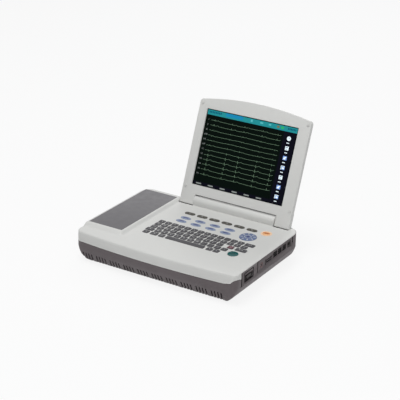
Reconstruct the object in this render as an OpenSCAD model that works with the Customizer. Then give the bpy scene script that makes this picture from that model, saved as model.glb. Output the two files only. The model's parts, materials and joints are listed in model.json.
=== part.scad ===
// Portable twelve-channel ECG recorder with a fold-down display, keyboard and roll printer.
// Millimetres. The origin lies on the table under the centre of the box round the whole recorder,
// with the display standing open. +X is to the user's right, +Y away from the user, +Z up.

/* [Body] */
// Distance from the printer door back to the rear of the body
rear_margin = 19; // [17:0.5:30]
// Distance from the body's front corners to the printer door
front_margin = 47; // [44:0.5:60]
// Width of the rim outside the printer door
side_rim = 7; // [6:0.5:12]
// Height of the rubber feet
foot_h = 4; // [3:0.5:8]
// Height where the two shells meet
parting_z = 49; // [45:0.5:54]
// Height of the keyboard deck
deck_z = 74.4; // [72:0.2:80]
// How far the printer housing stands above the deck
plateau_rise = 7.6; // [6:0.2:10]
// Thickness of the shell walls
wall = 2.5; // [2:0.1:3]
// How far the front bows out, seen from above
front_bow = 9.5; // [3:0.5:12]
// Corner radius at the front, seen from above
front_r = 14; // [12:0.5:20]
// Corner radius at the rear, seen from above
rear_r = 32; // [20:1:40]

/* [Lower shell] */
// How far the front wall runs in towards the feet
front_taper = 16.5; // [12:0.5:20]
// How far the side walls run in towards the feet
side_taper = 24; // [16:1:28]
// Number of groups of front vents
vent_groups = 10; // [6:1:10]
// Vents in one group
vents_per_group = 4; // [2:1:4]
// Distance between groups of vents
vent_group_pitch = 38.5; // [35:0.5:39]
// Distance between the vents of a group
vent_pitch = 8; // [6:0.2:8.4]
// Width of one vent
vent_w = 3; // [2:0.1:3.6]
// How far the vents stand left of the middle
vent_shift = 8.5; // [0:0.5:9]
// Height of the top of the vents
vent_top = 24; // [16:1:30]

/* [Display] */
// Width of the picture area
lcd_w = 245.8; // [230:0.2:252]
// Height of the picture area
lcd_h = 184.3; // [170:0.1:190]
// Backward tilt of the open display from the vertical
tilt = 21.4; // [10:0.2:30]
// Width of the housing on each side of the picture area, both sides together
bezel_sides = 53.7; // [46:0.1:60]
// How far the picture area stands left of the housing's middle
lcd_shift = 3.3; // [0:0.1:6]
// Height of the housing above the picture area, at its corners
brow_h = 19.4; // [16:0.1:26]
// Height of the housing below the picture area, legs included
chin_h = 49; // [46:0.1:56]
// Rise of the arched top edge
arch_rise = 15; // [8:0.5:20]
// Thickness of the front bezel
bezel_t = 7; // [6:0.1:8]
// Thickness of the whole display housing
screen_t = 19; // [17:0.5:22]
// Width of each hinge leg
leg_w = 39.4; // [34:0.2:44]
// Distance from the right side of the body to the display housing
screen_inset = 21.5; // [18:0.5:25]

/* [Hinge] */
// Radius of the hinge pins
hinge_pin_r = 3; // [2.5:0.1:3.4]
// Radial clearance of a turning shaft in its bore
run_gap = 0.05; // [0.02:0.01:0.1]
// Distance from the bezel's face back to the hinge axis
hinge_depth = 6.6; // [6.2:0.1:7]
// Distance from the ends of the legs up to the hinge axis
hinge_rise = 12; // [11.5:0.1:13]
// Play between the display and the fixed hinge cover
hinge_gap = 0.5; // [0.4:0.05:0.8]

/* [Printer] */
// Width of the chart paper
paper_w = 210; // [200:1:212]
// Radius of a full paper roll
roll_r = 24; // [20:0.5:24.5]
// Width of the printer door
door_w = 90.5; // [88:0.5:94]
// Width of the slope between the printer housing and the deck
slope_w = 8.5; // [7:0.5:12]
// Thickness of the printer door
door_t = 3; // [2.4:0.1:3.4]
// Radius of the platen roller
platen_r = 6; // [5:0.1:6.2]
// Teeth on the platen gear
platen_teeth = 18; // [16:1:20]
// Teeth on the idler gear
idler_teeth = 24; // [22:1:26]
// Teeth on the motor pinion
pinion_teeth = 12; // [11:1:13]
// Size of the gear teeth
gear_module = 0.8; // [0.7:0.05:0.85]

/* [Keys] */
// Distance between keys along a row
key_pitch = 17.7; // [17.7:0.1:18]
// Distance between the keyboard rows
row_pitch = 16.5; // [16.4:0.1:17]
// Width of a key
key_w = 15.6; // [12:0.2:15.6]
// Depth of a key
key_d = 14.2; // [10:0.2:14.2]
// Height of the keys above the deck
key_h = 1.2; // [0.8:0.1:1.4]
// Travel of the keys and buttons
key_travel = 1; // [0.6:0.1:1]
// Gap between a key and its hole
key_gap = 0.4; // [0.3:0.05:0.6]
// Length of the soft keys under the display
soft_key_l = 27; // [22:0.5:29]
// Length of the oval keys
oval_key_l = 27; // [22:0.5:29]
// Depth of the oval keys
oval_key_d = 13; // [10:0.5:14]
// Radius of the direction pad
nav_r = 20; // [16:0.5:21]
// Radius of the power button
power_r = 9; // [7:0.5:10]
// Radius of the print button
print_r = 12.2; // [9:0.2:13]

/* [Right side panel] */
// Front end of the socket panel
panel_y0 = 30; // [28:1:36]
// How far the side panel reaches round the rear corner
panel_wrap = 14.5; // [13:0.5:16]
// Lower edge of the socket panel
panel_z0 = 37; // [34:0.5:40]
// Upper edge of the socket panel
panel_z1 = 71.3; // [68:0.1:71.3]
// Gap round the socket panel
panel_gap = 0.2; // [0.1:0.05:0.4]

/* [Hidden] */
$fn = 48;
door_ends = 21;       // how much longer the door is than the chart paper
door_l = paper_w + door_ends;
body_d = front_margin + door_l + rear_margin;
screen_w = lcd_w + bezel_sides;
screen_h = chin_h + lcd_h + brow_h;
body_w = side_rim + door_w + slope_w + screen_w + screen_inset;
eps = 1;              // overrun of a cut past the surface that it cuts
seat = 0.3;           // gap between a part and the seat that carries it
hw = body_w / 2;
corner_back = 3;      // from the front datum line to where the bow starts
bow_out = front_bow - corner_back;
plateau_z = deck_z + plateau_rise;
deck_under = deck_z - wall;
deck_chamfer = 2.4;
floor_z = foot_h + wall;

// Display: s runs up the housing from the ends of its legs, t runs back from the bezel's face
screen_x1 = hw - screen_inset;
screen_x0 = screen_x1 - screen_w;
screen_cx = (screen_x0 + screen_x1) / 2;
lcd_cx = screen_cx - lcd_shift;
lcd_top = screen_h - brow_h;
lcd_mid = lcd_top - lcd_h / 2;
notch_s = 2 * hinge_rise;
leg_t = 2 * hinge_depth;
leg_reach = sqrt(hinge_rise * hinge_rise + hinge_depth * hinge_depth);
cover_r = hinge_rise - hinge_gap;
axis_y = body_d - cover_r - 0.3;
axis_z = deck_z + hinge_rise * cos(tilt) - hinge_depth * sin(tilt);
leg_y = axis_y - hinge_rise * sin(tilt) - hinge_depth * cos(tilt);
leg_foot_z = axis_z - hinge_rise * cos(tilt) + hinge_depth * sin(tilt);
back_end_s = screen_h + 9.3;
back_end_t = leg_t - 0.2;
arch_r = (screen_w * screen_w / 4 + arch_rise * arch_rise) / (2 * arch_rise);
overall_d = bow_out + leg_y + back_end_s * sin(tilt) + back_end_t * cos(tilt);
cover_x0 = screen_x0 + leg_w + hinge_gap;
cover_x1 = screen_x1 - leg_w - hinge_gap;
pocket_r = leg_reach + 2.6;
knuckle_s = 7;        // half length of a hinge knuckle along the leg
knuckle_t = 4;        // half thickness of a hinge knuckle
knuckle_inset = 3.5;  // from the leg's sides to the knuckle
fit = 0.1;            // play of a fixed insert in its pocket
leg_mid = leg_w / 2;
screen_corner = 14;
light_r = 1.5;
light_pitch = 9;
light_x0 = screen_x1 - 62;
light_s = 37;

// Printer
door_x0 = -hw + side_rim;
door_x1 = door_x0 + door_w;
door_y0 = front_margin;
door_y1 = door_y0 + door_l;
door_gap = 0.5;
door_pin_r = 0.8;
door_pin_out = 4;      // how far a pin reaches into the shell
door_pin_in = 10;      // how far it reaches into the door
door_axis_x = door_x1 - 1.7;
door_axis_z = plateau_z - 1.7;
slope_y1 = door_y0 - 5;
slope_y0 = slope_y1 - 10;
tray_x0 = door_x0 + 1.5;
tray_x1 = door_x1 - 3;
tray_y0 = door_y0 + 1;
tray_y1 = door_y1 - 1;
tray_t = 2;
tray_z0 = 20;
tray_z1 = plateau_z - door_t - 1;
tray_chine_z = 42;
tray_chine_x = tray_x0 + 13;
platen_x = door_x0 + 11.5;
platen_z = plateau_z - 12;
platen_y0 = tray_y0 + 6;
bearing_t = 2;
platen_y1 = platen_y0 + paper_w - 2;
shaft_r = 2.5;
gear_t = 3.5;
gear_y0 = platen_y1 + bearing_t + 2;
platen_pr = platen_teeth * gear_module / 2;
idler_pr = idler_teeth * gear_module / 2;
pinion_pr = pinion_teeth * gear_module / 2;
idler_dir = -60;
pinion_dir = -82;
idler_x = platen_x + (platen_pr + idler_pr) * cos(idler_dir);
idler_z = platen_z + (platen_pr + idler_pr) * sin(idler_dir);
pinion_x = idler_x + (idler_pr + pinion_pr) * cos(pinion_dir);
pinion_z = idler_z + (idler_pr + pinion_pr) * sin(pinion_dir);
platen_phase = idler_dir;
idler_phase = idler_dir + 180 + 180 / idler_teeth;
pinion_phase = pinion_dir + 180 + 180 / pinion_teeth
    - (idler_phase - pinion_dir) * idler_teeth / pinion_teeth;
motor_w = 20;
motor_l = 18;
rib_y0 = platen_y1 + 1;
rib_t = 2;
head_top = platen_z - platen_r - seat;
roll_x = tray_x1 - tray_t - 2 - roll_r;
roll_z = tray_z0 + tray_t + 1 + roll_r;
roll_y0 = platen_y0 + 1;
spindle_r = 4;
core_r = 6;
cradle_t = 3;

// Keyboard
key_top = deck_z + key_h;
flange_z = deck_under - seat;
flange_t = 1.3;
flange_out = 0.9;
keys_from_screen = 33;
row1_from_axis = 133.7;
row_x0 = screen_x0 + keys_from_screen;
row1_y = axis_y - row1_from_axis;
mat_top = flange_z - flange_t - key_travel - seat;
mat_t = 1.4;
board_top = mat_top - mat_t;
pcb_t = 1.6;
soft_key_d = 11.4;
soft_x0 = row_x0 + 29.3;
soft_pitch = 33.7;
soft_from_axis = 59.1;
soft_y = axis_y - soft_from_axis;
soft_count = 6;
oval_x0 = row_x0 + 35;
oval_pitch = 39.9;
oval_y = [soft_y - 27.3, soft_y - 47.3];
oval_cols = 4;
nav_at = [row_x0 + 209, soft_y - 37.5];
power_at = [row_x0 + 234.4, soft_y + 2.3];
print_at = [row_x0 + 226, row1_y - 58.2];
board_x0 = row_x0 - 17.5;
board_x1 = row_x0 + 258.5;
board_y0 = row1_y - 4 * row_pitch - 15.5;
board_y1 = soft_y + 19.9;
// Each row lists its keys as [centre, width], counted from the first key's centre in key pitches
row_keys = [
    [for (i = [0:12]) [i, 1], [13.3, 1.5]],
    [for (i = [0:13]) [i, 1]],
    [for (i = [0:10]) [i, 1], [11.6, 1], [13.1, 1.7]],
    [[0, 1.3], for (i = [1.2:1:11.2]) [i, 1]],
    [[0, 1], [1.25, 1.2], [2.4, 1], [5.95, 5.9], [9.6, 1], [10.6, 1]]
];

// Sockets
port_z = 59;
usb_y = [175, 196, 217];
usb_w = 13.4;
usb_h = 6;
usb_depth = 14;
lan_y = 239;
lan_w = 16;
lan_h = 13.5;
lan_inner_w = 11.8;
lan_inner_h = 8;
card_y = 146;
card_w = 30;
card_h = 3;
jack_y = 114;
jack_r = 3;
jack_bore_r = 1.75;
ecg_y = 60.5;
ecg_z = 51;
ecg_recess = [36, 17];
ecg_depth = 7;
face_x = hw - 0.2;
panel_t = 2.6;
panel_end_x = hw - panel_wrap;

// Rear
inlet_x = hw - 73.5;
inlet_z = 28;
inlet_w = 28;
inlet_h = 20;
inlet_well = [23, 16, 16];
switch_x = inlet_x - 40;
switch_w = 13;
switch_h = 19;
post_x = switch_x - 40;
post_r = 3;
post_l = 14;

// Inside
battery = [100, 72, 23];
battery_at = [tray_x1 + 23, 30];
mainboard = [188, 148];
mainboard_at = [tray_x1 + 21, body_d - mainboard[1] - 31];
mainboard_z = 34;
standoff_r = 3;
chips = [[60, 50, 35, 35, 4], [120, 40, 20, 20, 3], [20, 110, 40, 12, 9]];  // [x, y, width, depth, height]
capacitor_r = 4;
capacitor_h = 12;
capacitor_pitch = 12;
capacitor_at = [150, 80];
ecg_board_size = [70, 76];
ecg_board_at = [hw - ecg_board_size[0] - 21.5, 32];
shield_margin = 12;
shield_h = 11;
supply = [72, 80, 30];
supply_at = [hw - supply[0] - 41.5, body_d - supply[1] - 27];
speaker_r = 18;
speaker_at = [tray_x1 + 69, body_d - 107];
screw_at = [[-hw + 48, 24], [hw - 48, 24], [hw - 31.5, body_d - 35], [-hw + 28.5, body_d - 11]];
screw_r = 1.5;
boss_r = 4;
boss_under = foot_h + 3;
foot_r = 8;
foot_at = [for (s = [-1, 1]) each [[s * (hw - 32.5), 21.5], [s * (hw - 41.5), body_d - 29]]];

white = [0.84, 0.84, 0.83];
dark = [0.33, 0.30, 0.32];
slate = [0.44, 0.44, 0.46];
key_grey = [0.33, 0.33, 0.36];
key_blue = [0.45, 0.52, 0.74];
steel = [0.72, 0.73, 0.75];
black = [0.1, 0.1, 0.11];
pcb_green = [0.1, 0.35, 0.2];

// ---------- placing and drawing helpers ----------

// From the frame on the front datum line, midway between the sides, to the recorder's own origin
module placed() translate([0, bow_out - overall_d / 2, 0]) children();

// From the display's own frame (X, t, s) to the frame of the body
module on_screen() translate([0, leg_y, leg_foot_z]) rotate([-tilt, 0, 0]) children();

// Extrudes a [y, z] outline along X
module along_x(x0, x1) translate([x0, 0, 0]) rotate([90, 0, 90]) linear_extrude(x1 - x0) children();

// Extrudes an [x, z] outline along Y
module along_y(y0, y1) translate([0, y1, 0]) rotate([90, 0, 0]) linear_extrude(y1 - y0) children();

// Box between two corners
module block(a, b) translate(a) cube([b[0] - a[0], b[1] - a[1], b[2] - a[2]]);

// Cylinder along X, Y or Z
module rod_x(r, x0, x1, y, z) translate([x0, y, z]) rotate([0, 90, 0]) cylinder(r = r, h = x1 - x0);
module rod_y(r, y0, y1, x, z) translate([x, y1, z]) rotate([90, 0, 0]) cylinder(r = r, h = y1 - y0);
module rod_z(r, z0, z1, x, y) translate([x, y, z0]) cylinder(r = r, h = z1 - z0);

// Slot with round ends, length along X
module stadium(l, d, h) {
    translate([-(l - d) / 2, -d / 2, 0]) cube([l - d, d, h]);
    for (s = [-1, 1])
        translate([s * (l - d) / 2, 0, 0]) cylinder(r = d / 2, h = h);
}

// Oval prism, length along X
module oval(l, d, h)
    linear_extrude(h)
        polygon([for (k = [0:35]) [l / 2 * cos(10 * k), d / 2 * sin(10 * k)]]);

// Spur gear outline with one tooth centred on +X
function involute(base_r, r) = let (c = acos(min(1, base_r / r))) tan(c) * 180 / PI - c;
function gear_points(teeth) = let (
    pr = teeth * gear_module / 2,
    base = pr * cos(25),
    tip = pr + 0.8 * gear_module,
    root = pr - 1.05 * gear_module,
    half = 90 / teeth - 0.12 / pr * 180 / PI + involute(base, pr),
    flank = [for (k = [0:4]) max(base, root) + (tip - max(base, root)) * k / 4]
) [for (i = [0:teeth - 1]) let (a = 360 * i / teeth) each concat(
    [root * [cos(a - half), sin(a - half)]],
    [for (r = flank) let (b = a - half + involute(base, r)) r * [cos(b), sin(b)]],
    [for (k = [4:-1:0]) let (r = flank[k], b = a + half - involute(base, r)) r * [cos(b), sin(b)]],
    [root * [cos(a + half), sin(a + half)]]
)];
module gear(teeth, phase, x, z)
    translate([x, 0, z])
        along_y(gear_y0, gear_y0 + gear_t)
            rotate(phase) polygon(gear_points(teeth));

// ---------- shell volumes ----------

// Plan of the body, drawn in by an inset, between two heights
module plan(inset, z0, z1) {
    w = hw - inset;
    rf = front_r - inset;
    rr = rear_r - inset;
    y0 = corner_back + inset;
    y1 = body_d - inset;
    bow = [for (k = [-8:8]) [(w - rf) * k / 8, y0 - front_bow * (1 - k * k / 64)]];
    block([-w, y0 + rf, z0], [w, y1 - rr, z1]);
    translate([0, 0, z0])
        linear_extrude(z1 - z0)
            polygon([each bow, [w - rf, y0 + rf], [-w + rf, y0 + rf]]);
    block([-w + rr, y1 - rr, z0], [w - rr, y1, z1]);
    for (s = [-1, 1]) {
        rod_z(rf, z0, z1, s * (w - rf), y0 + rf);
        rod_z(rr, z0, z1, s * (w - rr), y1 - rr);
    }
}

// Lower half of the body, drawn in by an inset; top is where the volume is cut off
module lower_volume(i, top)
    intersection() {
        plan(i, foot_h + i, top);
        along_x(-hw, hw)
            polygon([[i - bow_out, top], [i - bow_out, 34], [front_taper - bow_out + i, foot_h + i],
                [body_d - 8 - i, foot_h + i], [body_d - i, 26], [body_d - i, top]]);
        along_y(-bow_out, body_d)
            polygon([[-hw + i, top], [-hw + i, 38], [-hw + side_taper * 0.42 + i, 18],
                [-hw + side_taper + i, foot_h + i], [hw - side_taper - i, foot_h + i],
                [hw - side_taper * 0.42 - i, 18], [hw - i, 38], [hw - i, top]]);
    }

// Keyboard deck and printer housing, drawn in by an inset; bottom is where the volume starts
module upper_volume(i, bottom)
    intersection() {
        plan(i, bottom, plateau_z);
        union() {
            intersection() {
                along_x(-hw, hw)
                    polygon([[i - bow_out, bottom], [i - bow_out, parting_z],
                        [i + 1 - bow_out, deck_z - 5.4 - i], [i + 4 - bow_out, deck_z - 1.9 - i],
                        [30, deck_z - i], [body_d - 4 - i, deck_z - i],
                        [body_d - i, deck_z - 4 - i], [body_d - i, bottom]]);
                along_y(-bow_out, body_d)
                    polygon([[-hw + i, bottom], [-hw + i, deck_z - deck_chamfer - i],
                        [-hw + deck_chamfer + i, deck_z - i], [hw - deck_chamfer - i, deck_z - i],
                        [hw - i, deck_z - deck_chamfer - i], [hw - i, bottom]]);
            }
            intersection() {
                along_x(-hw, 0)
                    polygon([[i - bow_out, bottom], [i - bow_out, parting_z],
                        [i + 1 - bow_out, deck_z - 5.4 - i], [i + 4 - bow_out, deck_z - 1.9 - i],
                        [slope_y0 + i, deck_z + 0.8 - i],
                        [slope_y1 + i, plateau_z - i], [body_d - 10 - i, plateau_z - i],
                        [body_d - 3 - i, deck_z - i], [body_d - i, deck_z - 8 - i], [body_d - i, bottom]]);
                along_y(-bow_out, body_d)
                    polygon([[-hw + i, bottom], [-hw + i, plateau_z - 4 - i], [-hw + 4 + i, plateau_z - i],
                        [door_x1 + 3 - i, plateau_z - i], [door_x1 + slope_w - i, deck_z - i],
                        [door_x1 + slope_w - i, bottom]]);
            }
        }
    }

// Round the screw positions, inside one of the volumes
module screw_posts(r, z0, z1)
    for (p = screw_at) rod_z(r, z0, z1, p[0], p[1]);

// ---------- body ----------

module front_vents()
    for (g = [0:vent_groups - 1], k = [0:vents_per_group - 1]) {
        x = (g - (vent_groups - 1) / 2) * vent_group_pitch
            + (k - (vents_per_group - 1) / 2) * vent_pitch - vent_shift;
        block([x - vent_w / 2, -bow_out - eps, 0],
            [x + vent_w / 2, front_taper - bow_out + 5, vent_top]);
    }

module lower_shell() color(dark) placed() difference() {
    union() {
        difference() {
            lower_volume(0, parting_z);
            lower_volume(wall, parting_z + eps);
        }
        intersection() {
            lower_volume(0, parting_z);
            union() {
                screw_posts(boss_r, foot_h, parting_z);
                // standoffs under the boards
                for (x = [8, mainboard[0] - 8], y = [8, mainboard[1] - 8])
                    rod_z(standoff_r, foot_h, mainboard_z, mainboard_at[0] + x, mainboard_at[1] + y);
                for (x = [6, ecg_board_size[0] - 8], y = [6, ecg_board_size[1] - 6])
                    rod_z(standoff_r, foot_h, mainboard_z, ecg_board_at[0] + x, ecg_board_at[1] + y);
                // posts under the paper tray
                for (x = [tray_chine_x + 10, tray_x1 - 10], y = [tray_y0 + 20, tray_y1 - 20])
                    rod_z(boss_r, foot_h, tray_z0, x, y);
                // frame round the battery
                difference() {
                    block([battery_at[0] - 3, battery_at[1] - 3, foot_h],
                        [battery_at[0] + battery[0] + 3, battery_at[1] + battery[1] + 3, 20]);
                    block([battery_at[0] - 1, battery_at[1] - 1, 0],
                        [battery_at[0] + battery[0] + 1, battery_at[1] + battery[1] + 1, 21]);
                }
            }
        }
    }
    front_vents();
    screw_posts(screw_r + 0.2, 0, parting_z + eps);
    screw_posts(3.4, 0, boss_under);
    for (p = foot_at) rod_z(3, 0, floor_z + eps, p[0], p[1]);
    block([battery_at[0] - 1, battery_at[1] - 1, 0],
        [battery_at[0] + battery[0] + 1, battery_at[1] + battery[1] + 1, floor_z + eps]);
    for (k = [-2:2])
        block([speaker_at[0] + 6 * k - 1.2, speaker_at[1] - 10, 0],
            [speaker_at[0] + 6 * k + 1.2, speaker_at[1] + 10, floor_z + eps]);
    panel_room(0);
    rear_cut(inlet_x, inlet_w, inlet_h);
    rear_cut(switch_x, switch_w, switch_h);
    rod_y(2, body_d - 8, body_d + eps, post_x, inlet_z);
}

// Window in the rear wall, centred on the height of the mains inlet
module rear_cut(x, w, h)
    block([x - w / 2, body_d - 8, inlet_z - h / 2], [x + w / 2, body_d + eps, inlet_z + h / 2]);

module key_holes() {
    g = key_gap;
    for (r = [0:4], k = row_keys[r])
        key_block(r, k, g, deck_under - eps, deck_z + eps);
    for (i = [0:soft_count - 1])
        translate([soft_x0 + i * soft_pitch, soft_y, deck_under - eps])
            stadium(soft_key_l + 2 * g, soft_key_d + 2 * g, wall + 2 * eps);
    for (r = [0, 1], i = [0:oval_cols - 1])
        translate([oval_x0 + i * oval_pitch, oval_y[r], deck_under - eps])
            oval(oval_key_l + 2 * g, oval_key_d + 2 * g, wall + 2 * eps);
    rod_z(nav_r + g, deck_under - eps, deck_z + eps, nav_at[0], nav_at[1]);
    rod_z(power_r + g, deck_under - eps, deck_z + eps, power_at[0], power_at[1]);
    rod_z(print_r + g, deck_under - eps, deck_z + eps, print_at[0], print_at[1]);
}

module upper_shell() color(white) placed() difference() {
    union() {
        difference() {
            upper_volume(0, parting_z);
            upper_volume(wall, parting_z - eps);
        }
        intersection() {
            upper_volume(0, parting_z);
            union() {
                screw_posts(boss_r, parting_z, plateau_z);
                // pillars that hold the keyboard board
                for (x = [board_x0 + 4, board_x1 - 4], y = [board_y0 + 4, board_y1 - 4])
                    rod_z(standoff_r, board_top, deck_z, x, y);
                // troughs round the display's legs
                for (x = [screen_x0, screen_x1 - leg_w])
                    rod_x(pocket_r + wall, x - wall - hinge_gap, x + leg_w + wall + hinge_gap,
                        axis_y, axis_z);
                // ears round the door pins
                for (y = [door_y0 - door_gap - 5.5, door_y1 + door_gap])
                    rod_y(2.6, y, y + 5.5, door_axis_x, door_axis_z);
            }
        }
    }
    key_holes();
    for (x = [screen_x0 - hinge_gap, screen_x1 - leg_w - hinge_gap]) {
        rod_x(pocket_r, x, x + leg_w + 2 * hinge_gap, axis_y, axis_z);
        block([x, axis_y, axis_z - pocket_r], [x + leg_w + 2 * hinge_gap, body_d + eps, plateau_z]);
    }
    block([door_x0 - door_gap, door_y0 - door_gap, plateau_z - wall - eps],
        [door_x1 + door_gap, door_y1 + door_gap, plateau_z + eps]);
    for (y = [door_y0 - door_pin_out, door_y1 - eps])
        rod_y(door_pin_r, y, y + door_pin_out + eps, door_axis_x, door_axis_z);
    screw_posts(screw_r, parting_z - eps, deck_z - 8);
    panel_room(0);
}

module rubber_feet() color(black) placed()
    for (p = foot_at) {
        rod_z(foot_r, 0, foot_h, p[0], p[1]);
        rod_z(2.9, 0, floor_z, p[0], p[1]);
    }

module case_screws() color(steel) placed()
    for (p = screw_at) {
        rod_z(3.1, boss_under - 2.2, boss_under, p[0], p[1]);
        rod_z(screw_r - 0.05, boss_under - 1, parting_z + 12, p[0], p[1]);
    }

module battery_door() color(dark) placed()
    block([battery_at[0] - 0.8, battery_at[1] - 0.8, foot_h],
        [battery_at[0] + battery[0] + 0.8, battery_at[1] + battery[1] + 0.8, floor_z]);

module battery_pack() color("royalblue") placed()
    block([battery_at[0], battery_at[1], floor_z + 0.1],
        [battery_at[0] + battery[0], battery_at[1] + battery[1], floor_z + battery[2]]);

// ---------- sockets on the right side ----------

// Room for the side panel: down the right side and round the rear corner, grown by g
module panel_room(g)
    block([panel_end_x - g, panel_y0 - g, panel_z0 - g], [hw + 1, body_d, panel_z1 + g]);

// Skin of the body, between two insets
module body_skin(outer, inner) difference() {
    plan(outer, panel_z0, panel_z1);
    plan(inner, panel_z0 - eps, panel_z1 + eps);
}

module port_panel() color(dark) placed() difference() {
    union() {
        intersection() {
            body_skin(hw - face_x, hw - face_x + panel_t);
            panel_room(-panel_gap);
        }
        block([face_x - ecg_depth - 1.5, ecg_y - ecg_recess[0] / 2 - 1.5, ecg_z - ecg_recess[1] / 2 - 1.5],
            [face_x - eps, ecg_y + ecg_recess[0] / 2 + 1.5, ecg_z + ecg_recess[1] / 2 + 1.5]);
    }
    block([face_x - ecg_depth, ecg_y - ecg_recess[0] / 2, ecg_z - ecg_recess[1] / 2],
        [face_x + eps, ecg_y + ecg_recess[0] / 2, ecg_z + ecg_recess[1] / 2]);
    block([face_x - ecg_depth - 3, ecg_y - 11, ecg_z - 4.6], [face_x, ecg_y + 11, ecg_z + 4.6]);
    for (y = usb_y) port_window(y, usb_w + 0.4, usb_h + 0.4);
    port_window(lan_y, lan_w + 0.4, lan_h + 0.4);
    port_window(card_y, card_w, card_h);
    rod_x(jack_r + fit, face_x - panel_t - eps, face_x + eps, jack_y, port_z - 3);
}

module port_window(y, w, h)
    block([face_x - panel_t - eps, y - w / 2, port_z - h / 2], [face_x + eps, y + w / 2, port_z + h / 2]);

module ecg_socket() color(steel) placed() difference() {
    union() {
        block([face_x - ecg_depth + 0.1, ecg_y - 17, ecg_z - 6.2],
            [face_x - ecg_depth + 1.1, ecg_y + 17, ecg_z + 6.2]);
        along_x(face_x - ecg_depth - 8, face_x - 1.2)
            polygon([[ecg_y - 10.5, ecg_z + 4.2], [ecg_y + 10.5, ecg_z + 4.2],
                [ecg_y + 9, ecg_z - 4.2], [ecg_y - 9, ecg_z - 4.2]]);
        for (s = [-1, 1]) rod_x(2.4, face_x - ecg_depth + 1, face_x - ecg_depth + 5, ecg_y + 14 * s, ecg_z);
    }
    for (s = [-1, 1]) rod_x(1.3, face_x - ecg_depth - eps, face_x - 1, ecg_y + 14 * s, ecg_z);
}

// Metal socket with its mouth at the panel's face
module open_socket(y, w, h, inner_w, inner_h, depth) difference() {
    block([face_x - 1 - depth, y - w / 2, port_z - h / 2], [face_x - 0.3, y + w / 2, port_z + h / 2]);
    block([face_x - depth, y - inner_w / 2, port_z - inner_h / 2],
        [face_x + eps, y + inner_w / 2, port_z + inner_h / 2]);
}

module usb_ports() color(steel) placed()
    for (y = usb_y) {
        open_socket(y, usb_w, usb_h, usb_w - 1, usb_h - 1, usb_depth);
        block([face_x - usb_depth - 0.5, y - 5.5, port_z - 0.2], [face_x - 2, y + 5.5, port_z + 1.6]);
    }

module lan_port() color(steel) placed()
    open_socket(lan_y, lan_w, lan_h, lan_inner_w, lan_inner_h, 13);

module card_reader() color(steel) placed() difference() {
    block([face_x - 30, card_y - card_w / 2 - 1, port_z - 3],
        [face_x - panel_t - 0.2, card_y + card_w / 2 + 1, port_z + 3]);
    block([face_x - 27, card_y - card_w / 2 + 2, port_z - 1.3],
        [face_x, card_y + card_w / 2 - 2, port_z + 1.3]);
}

module audio_jack() color(black) placed() difference() {
    union() {
        rod_x(jack_r, face_x - 12, face_x - 0.2, jack_y, port_z - 3);
        block([face_x - 14, jack_y - 4, port_z - 7], [face_x - panel_t - 0.2, jack_y + 4, port_z + 1]);
    }
    rod_x(jack_bore_r, face_x - 11, face_x, jack_y, port_z - 3);
}

// ---------- rear sockets ----------

module mains_inlet() color(black) placed() {
    difference() {
        union() {
            block([inlet_x - inlet_w / 2 + 0.2, body_d - inlet_well[2] - 4, inlet_z - inlet_h / 2 + 0.2],
                [inlet_x + inlet_w / 2 - 0.2, body_d + 0.5, inlet_z + inlet_h / 2 - 0.2]);
            block([inlet_x - inlet_w / 2 - 3, body_d + 0.2, inlet_z - inlet_h / 2 - 1.5],
                [inlet_x + inlet_w / 2 + 3, body_d + 2, inlet_z + inlet_h / 2 + 1.5]);
        }
        block([inlet_x - inlet_well[0] / 2, body_d + 2 - inlet_well[2], inlet_z - inlet_well[1] / 2],
            [inlet_x + inlet_well[0] / 2, body_d + 3, inlet_z + inlet_well[1] / 2]);
    }
    for (p = [[-7, -2], [0, 2], [7, -2]])
        block([inlet_x + p[0] - 1, body_d + 1 - inlet_well[2], inlet_z + p[1] - 2],
            [inlet_x + p[0] + 1, body_d - 3.5, inlet_z + p[1] + 2]);
}

module mains_switch() color(black) placed() difference() {
    union() {
        rod_x(8.6, switch_x - 5, switch_x + 5, body_d - 6, inlet_z);
        rod_x(1.5, switch_x - switch_w / 2 + 0.8, switch_x + switch_w / 2 - 0.8, body_d - 6, inlet_z);
    }
    rotate_about_switch(9)
        block([switch_x - 8, body_d + 1, inlet_z - 12], [switch_x + 8, body_d + 6, inlet_z + 12]);
}

module rotate_about_switch(a)
    translate([0, body_d - 6, inlet_z]) rotate([a, 0, 0])
        translate([0, -(body_d - 6), -inlet_z]) children();

module ground_post() color("goldenrod") placed() {
    rod_y(post_r, body_d + 2.5, body_d + 2.5 + post_l, post_x, inlet_z);
    rod_y(5.5, body_d + 0.1, body_d + 2.5, post_x, inlet_z);
    rod_y(1.9, body_d - 6, body_d + 1, post_x, inlet_z);
    rod_y(4.5, body_d - 8, body_d - 5, post_x, inlet_z);
}

// ---------- display ----------

// Housing outline between two depths, drawn in by an inset
module screen_outline(i, t0, t1)
    intersection() {
        along_y(t0, t1) translate([screen_cx, screen_h + arch_rise - arch_r])
            circle(r = arch_r - i, $fn = 360);
        union() {
            block([screen_x0 + i, t0, i], [screen_x1 - i, t1, screen_h - 5]);
            block([screen_x0 + screen_corner, t0, i],
                [screen_x1 - screen_corner, t1, screen_h + arch_rise + 1]);
            for (x = [screen_x0 + screen_corner, screen_x1 - screen_corner])
                rod_y(screen_corner - i, t0, t1, x, screen_h - 5);
        }
    }

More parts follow.
